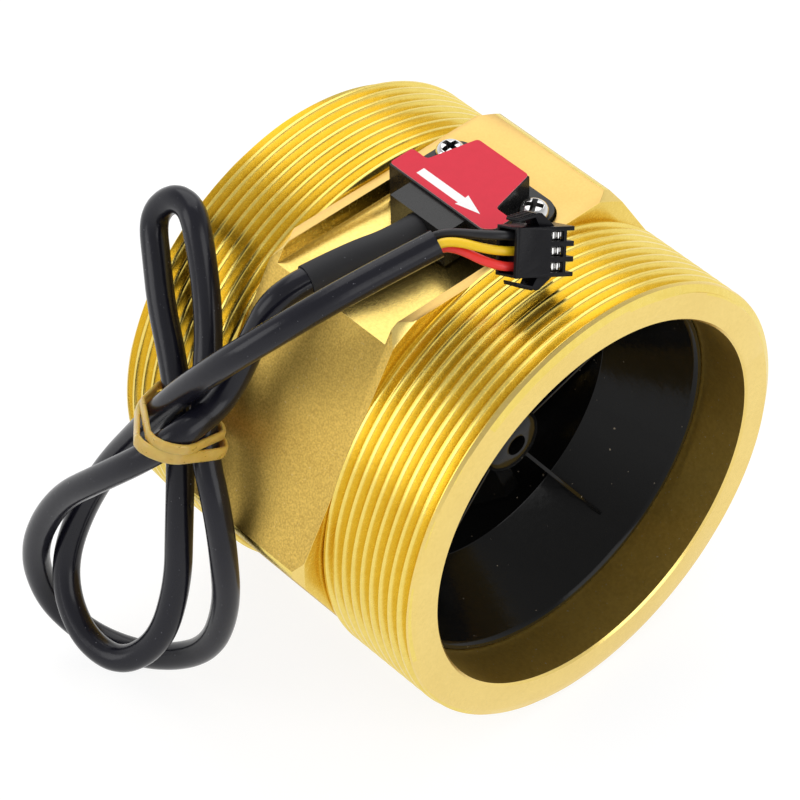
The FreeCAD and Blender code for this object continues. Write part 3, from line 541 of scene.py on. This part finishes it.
def make_guide(side):
    lip = 26.4 * MM
    outer = 36.9 * MM
    profile = [(0.0, 29.0 * MM), (9.3 * MM, 29.0 * MM), (9.4 * MM, 29.12 * MM),
               (25.7 * MM, 35.35 * MM), (26.1 * MM, 35.6 * MM), (lip, 35.95 * MM),
               (lip, outer - 0.25 * MM), (lip - 0.25 * MM, outer), (20.0 * MM, outer),
               (20.0 * MM, 35.1 * MM), (18.0 * MM, 35.1 * MM), (18.0 * MM, outer),
               (3.05 * MM, outer), (3.05 * MM, 36.15 * MM), (0.0, 36.15 * MM)]
    shell = lathe("guide_shell", [(side * x, r) for x, r in profile], 240)
    hub_profile = [(8.5, 0.05), (8.5, 6.5), (14.6, 6.5), (15.6, 6.4), (16.4, 6.05), (16.9, 5.4),
                   (17.2, 4.5), (17.38, 3.4), (17.45, 2.4), (17.4, 2.0), (17.1, 1.9), (14.5, 1.9),
                   (14.5, 0.05)]
    hub = lathe("guide_hub", [(side * x * MM, r * MM) for x, r in hub_profile], 96)
    outline = [(side * 9.0, 5.0), (side * 15.9, 5.0), (side * 20.7, 33.8), (side * 9.0, 29.8)]
    vane = prism("vane", [(x * MM, r * MM) for x, r in outline], -0.35 * MM, 0.35 * MM)
    bevel(vane, 0.15 * MM)
    vanes = repeated("vanes", vane, 4, black_moulding, turn=(math.tau / 4, 0, 0))
    angle = math.radians(33 if side > 0 else 147)
    vanes.data.transform(Matrix.Translation((0, 0, AXIS_HEIGHT)) @ Matrix.Rotation(angle, 4, "X"))
    return join("outlet_guide_form" if side > 0 else "inlet_guide_form", [shell, hub, vanes],
                black_moulding)


def join(name, pieces, *materials):
    """Several closed shells as one mesh object."""
    edit = bmesh.new()
    for piece in pieces:
        edit.from_mesh(piece.data)
        bpy.data.objects.remove(piece)
    mesh = bpy.data.meshes.new(name)
    for face in edit.faces:
        face.material_index = min(face.material_index, len(materials) - 1)
    edit.to_mesh(mesh)
    edit.free()
    smooth_by_angle(mesh, 30)
    return mesh_object(name, mesh, *materials)


for side, node in ((1, "outlet_guide"), (-1, "inlet_guide")):
    placed(make_guide(side), node)


# Finishes of the small pieces

def plain(name, colour, roughness, metallic=0.0, grain=900, depth=0.00001, variation=0.25,
          shine=0.5):
    finish = Finish(name, Metallic=metallic, Specular_IOR_Level=shine)
    cloud = finish.noise(grain, 3, 0.6)
    darker = tuple(c * (1 - variation) for c in colour)
    finish.set("Base Color", finish.mix(cloud, darker, colour))
    finish.set("Roughness", (cloud - 0.5) * 0.2 + roughness)
    finish.set("Normal", finish.bump(cloud, depth))
    return finish.material


def jacket(name, colour, roughness):
    """Cable jacket: soft sheen with lint and dust on it."""
    finish = Finish(name, Specular_IOR_Level=0.3)
    cloud = finish.noise(220, 4, 0.6)
    base = finish.mix(cloud, tuple(c * 0.8 for c in colour), tuple(c * 1.25 for c in colour))
    lint = finish.step(finish.noise(2400, 1, 0.4), 0.75, 0.83)
    finish.set("Base Color", finish.mix(lint * 0.3, base, (0.45, 0.45, 0.5)))
    finish.set("Roughness", (cloud - 0.5) * 0.12 + roughness + lint * 0.3)
    finish.set("Normal", finish.bump(finish.noise(700, 2, 0.5), 0.00002))
    return finish.material


cable_jacket = jacket("cable_jacket", (0.007, 0.007, 0.012), 0.22)
sleeve_rubber = jacket("sleeve_rubber", (0.020, 0.020, 0.022), 0.62)
black_core = jacket("black_core", (0.016, 0.016, 0.018), 0.35)
yellow_core = plain("yellow_core", (0.95, 0.60, 0.01), 0.35, variation=0.1)
red_core = plain("red_core", (0.90, 0.035, 0.03), 0.35, variation=0.1)
plug_plastic = plain("plug_plastic", (0.004, 0.004, 0.006), 0.30, grain=1500, depth=0.00003,
                     shine=0.16)
contact_metal = plain("contact_metal", (0.78, 0.77, 0.75), 0.22, 1.0)
bright_steel = plain("bright_steel", (0.80, 0.80, 0.80), 0.14, 1.0, grain=1500, depth=0.00001)
# Steel darkened to a tenth of bright steel: painted shade for the faces inside the screws' cross
# recesses
recess_painted_shade = plain("recess_painted_shade", (0.10, 0.10, 0.10), 0.4, 1.0)
dull_steel = plain("dull_steel", (0.62, 0.62, 0.63), 0.3, 1.0)
pale_plastic = plain("pale_plastic", (0.78, 0.76, 0.70), 0.4, variation=0.1)
seal_rubber = plain("seal_rubber", (0.02, 0.02, 0.02), 0.6)
board_green = plain("board_green", (0.03, 0.20, 0.07), 0.4)
chip_black = plain("chip_black", (0.02, 0.02, 0.02), 0.5)
label_white = plain("label_white", (0.90, 0.89, 0.89), 0.45, variation=0.03)
label_edge = plain("label_edge", (0.85, 0.30, 0.34), 0.5, variation=0.1)


def label_finish():
    finish = Finish("label_red", Specular_IOR_Level=0.2)
    fibre = finish.noise(500, 4, 0.6)
    finish.set("Base Color", finish.mix(fibre, (0.62, 0.017, 0.040), (0.70, 0.024, 0.052)))
    finish.set("Roughness", (fibre - 0.5) * 0.1 + 0.42)
    finish.set("Normal", finish.bump(finish.noise(900, 2, 0.5), 0.00002))
    return finish.material


label_red = label_finish()


def amber_finish():
    finish = Finish("amber_rubber", Subsurface_Weight=0.4, Subsurface_Scale=0.0015,
                    Transmission_Weight=0.3)
    finish.shader.inputs["Subsurface Radius"].default_value = (1.0, 0.6, 0.2)
    cloud = finish.noise(450, 3, 0.6)
    finish.set("Base Color", finish.mix(cloud, (0.66, 0.41, 0.06), (0.92, 0.67, 0.19)))
    finish.set("Roughness", (cloud - 0.5) * 0.2 + 0.30)
    finish.set("Normal", finish.bump(cloud, 0.00008))
    return finish.material


amber_rubber = amber_finish()

for node, material in {
    "rotor": black_moulding, "rotor_magnets": dull_steel, "rotor_shaft": dull_steel,
    "front_bearing": pale_plastic, "rear_bearing": pale_plastic,
    "front_thrust_washer": dull_steel, "rear_thrust_washer": dull_steel,
    "front_guide_seal": seal_rubber, "rear_guide_seal": seal_rubber,
    "circuit_board": board_green, "hall_chip": chip_black, "housing_gasket": seal_rubber,
}.items():
    cad_copy(node + "_form", node, material)

cad_copy("sensor_housing_form", "sensor_housing", black_housing)


def rounded(outline, radius, steps=4):
    """An outline in millimetres with its corners rounded, in metres."""
    points = []
    count = len(outline)
    for i, corner in enumerate(outline):
        here = Vector(corner)
        back = Vector(outline[i - 1]) - here
        ahead = Vector(outline[(i + 1) % count]) - here
        reach = min(radius, 0.45 * back.length, 0.45 * ahead.length)
        first = here + back.normalized() * reach
        last = here + ahead.normalized() * reach
        for k in range(steps + 1):
            t = k / steps
            spot = first * (1 - t) ** 2 + here * 2 * t * (1 - t) + last * t ** 2
            points.append((spot.x * MM, spot.y * MM))
    return points


def make_label():
    outline = [(-12.3, -1.9), (10.8, -1.9), (12.3, -0.4), (12.3, 3.3), (8.6, 3.3), (6.3, 13.1),
               (-6.3, 13.1), (-8.6, 3.3), (-12.3, 3.3)]
    label = prism("sensor_label_form", rounded(outline, 0.7), 48.2 * MM + AXIS_HEIGHT,
                  48.35 * MM + AXIS_HEIGHT)
    for material in (label_red, label_edge):
        label.data.materials.append(material)
    for face in label.data.polygons:
        face.material_index = 0 if abs(face.normal.z) > 0.5 else 1
    return label


placed(make_label(), "sensor_label")


# Screws with a deep cross recess

def spun(name, profile, columns=64):
    """A closed form of (radius, height) turned round the Z axis, in millimetres."""
    edit = bmesh.new()
    rings = []
    for radius, height in profile:
        rings.append([edit.verts.new((radius * math.cos(math.tau * k / columns) * MM,
                                      radius * math.sin(math.tau * k / columns) * MM,
                                      height * MM)) for k in range(columns)])
    for ring, above in zip(rings, rings[1:]):
        for k in range(columns):
            m = (k + 1) % columns
            edit.faces.new((ring[k], ring[m], above[m], above[k]))
    for ring in (rings[0], rings[-1]):
        edit.faces.new(ring)
    return solid(name, edit)


def cross_recess():
    """A cutter with four arms that narrow towards its bottom."""
    edit = bmesh.new()
    levels = []
    for reach, half, height in ((0.9, 0.34, 0.45), (1.95, 0.52, 2.3)):
        corners = []
        for turn in range(4):
            c, s = math.cos(turn * math.pi / 2), math.sin(turn * math.pi / 2)
            for x, y in ((half, -half), (reach, -half), (reach, half)):
                corners.append(edit.verts.new(((x * c - y * s) * MM, (x * s + y * c) * MM,
                                               height * MM)))
        levels.append(corners)
    for corners in levels:
        edit.faces.new(corners)
    for k in range(12):
        m = (k + 1) % 12
        edit.faces.new((levels[0][k], levels[0][m], levels[1][m], levels[1][k]))
    return solid("cross_recess", edit)


def make_screws():
    head = [(2.6, 0.0), (2.65, 0.1), (2.65, 0.6), (2.56, 1.05), (2.35, 1.45), (2.0, 1.76),
            (1.55, 1.96), (1.05, 2.06), (0.5, 2.1)]
    screw = spun("screw", [(1.2, -2.6), (1.2, 0.0), *head])
    carve(screw, [cross_recess()])
    bevel(screw, 0.05 * MM)
    apart = 20.8 * MM
    pair = repeated("pick_up_screws", screw, 2, bright_steel, (apart, 0, 0), (0, 0, 0.6))
    pair.data.materials.clear()
    for material in (bright_steel, recess_painted_shade):
        pair.data.materials.append(material)
    # Faces under the dome, inside the cross recess, take the darkened steel: painted shade in the
    # recess
    radii, heights = zip(*head[:1:-1])
    for face in pair.data.polygons:
        x, y, z = face.center
        radius = math.hypot(min(abs(x), abs(x - apart)), y) / MM
        dome = np.interp(radius, radii, heights)
        face.material_index = int(radius < 2.1 and 0.3 < z / MM < dome - 0.08)
    pair.data.transform(Matrix.Translation(at(-10.4, 10.4, 43.9)))
    return pair


placed(make_screws(), "front_screw", "rear_screw")


# White arrow on the label

def make_arrow():
    top = 48.35 * MM + AXIS_HEIGHT
    outline = [(-7.15, -0.45), (3.2, -0.45), (3.05, -1.0), (7.9, 0.3), (3.1, 2.05), (3.2, 1.25),
               (-7.15, 1.25)]
    arrow = prism("flow_arrow", [(x * MM, y * MM) for x, y in outline], top - 0.02 * MM,
                  top + 0.02 * MM)
    arrow.data.materials.append(label_white)
    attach(arrow, "meter")


make_arrow()


# Lead: sleeve, cable, cores and band

SLEEVE_ROUTE = [(0.0, -5.4, 44.2), (0.0, -12.0, 44.2), (-1.6, -20.5, 45.0), (-3.3, -29.0, 44.1)]
CABLE_ROUTE = [
    (-3.3, -29.0, 44.1), (-4.47, -34.85, 43.48), (-5.9, -38.5, 36.0), (-7.1, -41.9, 28.0),
    (-7.3, -46.3, 23.5), (-6.8, -54.3, 23.0), (-10.8, -59.7, 18.0), (-18.8, -63.2, 9.6),
    (-29.8, -65.6, -2.4), (-36.5, -67.4, -18.4), (-36.5, -65.8, -32.0), (-30.9, -62.9, -39.0),
    (-23.2, -60.0, -40.6), (-13.2, -56.9, -37.5), (-4.2, -53.8, -29.8), (-0.3, -52.6, -16.3),
    (0.2, -53.1, -1.9), (-2.3, -52.1, 8.1), (-7.4, -49.8, 14.0), (-12.2, -45.8, 19.4),
    (-16.6, -40.3, 25.8), (-21.1, -36.4, 32.4), (-25.7, -33.5, 39.5), (-28.8, -31.9, 43.0),
    (-31.8, -30.8, 43.6), (-35.4, -30.8, 42.9), (-38.4, -31.9, 39.6), (-38.9, -33.3, 36.1),
    (-35.2, -35.9, 31.9), (-29.9, -39.6, 26.8), (-23.8, -42.8, 21.5), (-18.3, -46.2, 15.5),
    (-13.8, -50.2, 8.0), (-9.8, -54.6, -1.9), (-7.7, -57.4, -12.9), (-7.9, -61.9, -24.6),
    (-13.2, -66.7, -31.3), (-20.7, -68.4, -30.7), (-27.7, -67.0, -26.6), (-31.9, -63.8, -20.5),
    (-31.9, -59.3, -11.4), (-28.3, -55.2, -0.4), (-21.3, -52.7, 11.5), (-12.8, -51.3, 25.0),
    (-2.8, -48.3, 38.0), (3.6, -42.4, 45.5), (7.1, -34.5, 49.4), (10.1, -24.0, 52.0),
    (13.15, -14.4, 54.4),
]
CABLE_RADIUS = 2.5 * MM
SLEEVE_RADIUS = 2.85 * MM
CORE_RADIUS = 0.8 * MM


def route_curve(name, points, resolution):
    """A smooth curve with the route's points as its control points."""
    curve = bpy.data.curves.new(name, "CURVE")
    curve.dimensions = "3D"
    spline = curve.splines.new("NURBS")
    spline.points.add(len(points) - 1)
    for point, (x, y, z) in zip(spline.points, points):
        point.co = (x, y, z, 1)
    spline.order_u = 3
    spline.use_endpoint_u = True
    spline.resolution_u = resolution
    piece = bpy.data.objects.new(name, curve)
    bpy.context.scene.collection.objects.link(piece)
    return piece


def strand(name, points, radius, material, node, resolution=10, sides=8):
    """A round strand along a route, in place of its CAD node."""
    piece = route_curve(name, points, resolution)
    piece.data.bevel_depth = radius
    piece.data.bevel_resolution = sides
    piece.data.use_fill_caps = True
    piece.data.materials.append(material)
    return placed(piece, node)


def centreline(points, resolution=10):
    """Points along the route's own spline."""
    piece = route_curve("centreline", points, resolution)
    curve = piece.data
    bpy.context.view_layer.update()
    graph = bpy.context.evaluated_depsgraph_get()
    mesh = bpy.data.meshes.new_from_object(piece.evaluated_get(graph))
    line = np.array([vertex.co for vertex in mesh.vertices])
    bpy.data.objects.remove(piece)
    bpy.data.curves.remove(curve)
    bpy.data.meshes.remove(mesh)
    return line


cable_points = [at(*point) for point in CABLE_ROUTE]
cable = strand("signal_cable_form", cable_points, CABLE_RADIUS, cable_jacket, "signal_cable")
sleeve = strand("sleeve_form", [at(*point) for point in SLEEVE_ROUTE], SLEEVE_RADIUS,
                sleeve_rubber, "heat_shrink_sleeve")

PLUG_CENTRE = at(23.3, -1.61, 51.66)
PLUG_FORWARD = Vector((0.239, 0.899, -0.368)).normalized()
PLUG_NEAR = Vector((0.884, -0.044, 0.4655))
PLUG_NEAR = (PLUG_NEAR - PLUG_FORWARD * PLUG_NEAR.dot(PLUG_FORWARD)).normalized()
PLUG_DOWN = PLUG_FORWARD.cross(PLUG_NEAR)


def core_routes():
    end = cable_points[-1]
    ahead = (end - cable_points[-2]).normalized()
    level = (PLUG_DOWN - ahead * PLUG_DOWN.dot(ahead)).normalized()
    rise = level.cross(ahead).normalized()
    rear = PLUG_CENTRE - PLUG_FORWARD * (11.7 / 2 - 1.6) * MM
    for i, turn in enumerate((210, 90, -30)):
        angle = math.radians(turn)
        start = end + (level * math.cos(angle) + rise * math.sin(angle)) * 1.3 * MM
        stop = rear + PLUG_DOWN * (2.6 * (i - 1)) * MM
        yield [start, start + ahead * 2 * MM, stop - PLUG_FORWARD * 3.6 * MM, stop]


for route, (name, material) in zip(core_routes(), (
        ("black_wire", black_core), ("yellow_wire", yellow_core), ("red_wire", red_core))):
    strand(name + "_form", route, CORE_RADIUS, material, name, 12, 6)


# Plug: its own frame has X forward, Y towards its near side and Z down its row of contacts

PLUG_FRAME = Matrix.Translation(PLUG_CENTRE) \
    @ Matrix((PLUG_FORWARD, PLUG_NEAR, PLUG_DOWN)).transposed().to_4x4()


def slab(name, forward, near, down):
    """A box in the plug's frame, from its ranges in millimetres."""
    outline = [(x * MM, z * MM) for x, z in ((forward[0], down[0]), (forward[1], down[0]),
                                             (forward[1], down[1]), (forward[0], down[1]))]
    return prism(name, outline, near[0] * MM, near[1] * MM, "Y")


def make_plug():
    body = slab("plug_body", (-5.85, 5.85), (-2.9, 2.9), (-4.2, 4.2))
    cuts = [slab("wire_entry", (-6.5, -4.0), (-2.1, 2.2), (-3.75, 3.75))]
    for middle in (-2.6, 0.0, 2.6):
        side = (middle - 0.85, middle + 0.85)
        cuts.append(slab("window", (1.25, 3.75), (0.3, 3.5), side))
        cuts.append(slab("mouth", (4.35, 6.5), (-0.9, 3.5), side))
        cuts.append(slab("tunnel", (3.0, 5.0), (0.3, 1.9), (middle - 0.6, middle + 0.6)))
    carve(body, cuts)
    bevel(body, 0.1 * MM)
    pieces = [body, bevel(slab("flange", (-5.85, -5.2), (2.6, 3.05), (-4.25, 4.25)), 0.1 * MM)]
    for side in (-1, 1):
        outline = [(-4.85, 5.0), (-4.85, 5.45), (-0.8, 6.5), (-0.2, 6.4), (2.6, 4.1), (-0.6, 4.1),
                   (-1.5, 5.7)]
        latch = prism("latch", [(x * MM, side * z * MM) for x, z in outline], -1.9 * MM, 1.9 * MM,
                      "Y")
        pieces.append(bevel(latch, 0.1 * MM))
        rib = slab("rib", (-4.75, -4.45), (-1.8, 1.8), sorted((side * 5.3, side * 5.68)))
        step = (0.6 * MM, 0, side * 0.155 * MM)
        pieces.append(repeated("ribs", rib, 6, plug_plastic, step))
    plug = join("connector_housing_form", pieces, plug_plastic)
    plug.data.transform(PLUG_FRAME)
    return placed(plug, "connector_housing")


def make_terminals():
    """Crimped contacts: a folded box with its wings, seen in the housing's windows."""
    shell = bevel(slab("shell", (1.3, 3.7), (0.4, 1.7), (-3.35, -1.85)), 0.2 * MM)
    wings = [bevel(slab("wing", (x, x + 0.5), (1.5, 2.0), (-3.25, -1.95)), 0.15 * MM)
             for x in (1.35, 2.05, 3.1)]
    tongue = bevel(slab("tongue", (3.6, 4.9), (0.5, 1.1), (-3.1, -2.1)), 0.1 * MM)
    one = join("terminal", [shell, tongue, *wings], contact_metal)
    row = repeated("connector_terminals_form", one, 3, contact_metal, (0, 0, 2.6 * MM))
    row.data.transform(PLUG_FRAME)
    return placed(row, "connector_terminals")


plug = make_plug()
terminals = make_terminals()

TIE_CENTRE = at(-13.3, -50.3, 17.7)


def outline_hull(points):
    points = sorted(set((round(x, 7), round(y, 7)) for x, y in points))
    chains = []
    for run in (points, points[::-1]):
        chain = []
        for x, y in run:
            while len(chain) > 1 and ((chain[-1][0] - chain[-2][0]) * (y - chain[-2][1])
                                      <= (chain[-1][1] - chain[-2][1]) * (x - chain[-2][0])):
                chain.pop()
            chain.append((x, y))
        chains += chain[:-1]
    return chains


def band_loop(line, centre, way, reach, half_width):
    """A closed run of points round the strands where they pass through one turn of the band."""
    level = Vector((1, 0, 0)).cross(way).normalized()
    across = level.cross(way)
    spots = []
    for first, second in zip(line[:-1], line[1:]):
        middle = Vector((first + second) / 2)
        if (middle - centre).length > 15 * MM or abs((middle - centre).dot(way)) > 4 * MM:
            continue
        along = Vector(second - first).normalized()
        side = along.orthogonal().normalized()
        other = along.cross(side)
        for k in range(24):
            turn = math.tau * k / 24
            spot = middle + (side * math.cos(turn) + other * math.sin(turn)) * reach - centre
            if abs(spot.dot(way)) < half_width:
                spots.append((spot.dot(level), spot.dot(across)))
    corners = outline_hull(spots)
    corners.append(corners[0])
    steps = np.cumsum([0] + [math.dist(a, b) for a, b in zip(corners, corners[1:])])
    places = np.linspace(0, steps[-1], 121)[:-1]
    xs = np.interp(places, steps, [c[0] for c in corners])
    ys = np.interp(places, steps, [c[1] for c in corners])
    return [centre + level * x + across * y for x, y in zip(xs, ys)], level, across


def make_band():
    line = centreline(cable_points)
    edit = bmesh.new()
    for shift, tilt, width, reach in ((-0.95, 0.01, 1.2, 3.0), (1.0, -0.01, 0.95, 3.05)):
        way = Vector((tilt, 0.42, 0.91)).normalized()
        centre = TIE_CENTRE + way * shift * MM
        points, level, across = band_loop(line, centre, way, reach * MM, width * MM)
        count = len(points)
        rings = []
        for i, point in enumerate(points):
            ahead = (points[(i + 2) % count] - points[i - 2]).normalized()
            out = ahead.cross(way).normalized()
            if out.dot(point - centre) < 0:
                out = -out
            wave = 0.12 * math.sin(i * math.tau / count * 3 + shift)
            ring = []
            for k in range(16):
                turn = math.tau * k / 16
                a = math.copysign(abs(math.cos(turn)) ** 0.6, math.cos(turn)) * width
                b = math.copysign(abs(math.sin(turn)) ** 0.8, math.sin(turn)) * 0.42
                ring.append(edit.verts.new(point + way * (a + wave) * MM + out * b * MM))
            rings.append(ring)
        for i in range(count):
            j = (i + 1) % count
            for k in range(16):
                m = (k + 1) % 16
                edit.faces.new((rings[i][k], rings[i][m], rings[j][m], rings[j][k]))
    band = solid("rubber_band_form", edit)
    smooth_by_angle(band.data, 60)
    band.data.materials.append(amber_rubber)
    return placed(band, "rubber_band")


band = make_band()


# Studio: pale floor, white surroundings and soft lamps

# Tones of the surroundings from straight below to straight above: where they only light the meter,
# and where they are looked at
LIT_TONES = [(0.0, 0.30), (0.35, 0.22), (0.55, 0.45), (0.8, 0.75), (1.0, 0.95)]
SEEN_TONES = [(0.0, 1.0), (0.58, 1.0), (0.70, 0.80), (0.84, 0.58), (1.0, 0.52)]
LIT_STRENGTH = 0.9
FLOOR_GLOW = 0.84
FLOOR_TONE = 0.22


def white_surroundings():
    world = bpy.data.worlds.new("studio")
    bpy.context.scene.world = world
    world.use_nodes = True
    world.node_tree.nodes.clear()
    tree = Nodes(world.node_tree)
    place = tree.add("ShaderNodeTexCoord", output="Generated")
    height = tree.add("ShaderNodeSeparateXYZ", {}, {0: place}, "Z") * 0.5 + 0.5
    skies = []
    for tones, strength in ((LIT_TONES, LIT_STRENGTH), (SEEN_TONES, 1.0)):
        tone = tree.add("ShaderNodeValToRGB", {}, {0: height})
        elements = tone.socket.node.color_ramp.elements
        while len(elements) < len(tones):
            elements.new(0.5)
        for element, (position, value) in zip(elements, tones):
            element.position = position
            element.color = (*grey(value), 1)
        skies.append(tree.add("ShaderNodeBackground", {}, {"Color": tone, "Strength": strength}))
    mix = tree.add("ShaderNodeMixShader", {}, {0: tree.looked_at(), 1: skies[0], 2: skies[1]})
    tree.add("ShaderNodeOutputWorld", {}, {0: mix})


def make_floor():
    mesh = bpy.data.meshes.new("studio_floor")
    half = 3.0
    mesh.from_pydata([(-half, -half, 0), (half, -half, 0), (half, half, 0), (-half, half, 0)], [],
                     [(0, 1, 2, 3)])
    floor = mesh_object("studio_floor", mesh)
    finish = Finish("floor_white", Roughness=0.9, Base_Color=grey(0.8))
    glow = finish.add("ShaderNodeEmission", {}, {"Color": (1, 1, 1, 1), "Strength": FLOOR_GLOW})
    soft = finish.add("ShaderNodeBsdfDiffuse", {}, {"Color": (*grey(FLOOR_TONE), 1)})
    both = finish.add("ShaderNodeAddShader", {}, {0: glow, 1: soft})
    plain_white = Value(finish, finish.shader.outputs[0])
    mix = finish.add("ShaderNodeMixShader", {}, {0: finish.looked_at(), 1: plain_white, 2: both})
    finish.links.new(mix.socket, finish.nodes["Material Output"].inputs[0])
    floor.data.materials.append(finish.material)


def lamp(name, place, target, size, power):
    data = bpy.data.lights.new(name, "AREA")
    data.shape = "RECTANGLE"
    data.size, data.size_y = size
    data.energy = power
    piece = bpy.data.objects.new(name, data)
    bpy.context.scene.collection.objects.link(piece)
    piece.location = place
    piece.rotation_euler = (Vector(target) - Vector(place)).to_track_quat("-Z", "Y").to_euler()


white_surroundings()
make_floor()
lamp("top_softbox", (-0.42, 0.40, 0.78), (0, 0, 0.04), (0.9, 0.9), 3.4)
lamp("right_softbox", (0.95, 0.05, 0.55), (0, 0, 0.04), (0.7, 0.8), 3.0)
lamp("left_softbox", (-0.45, -0.85, 0.55), (0, 0, 0.04), (0.6, 0.7), 2.6)

bpy.context.scene.view_settings.view_transform = "Standard"
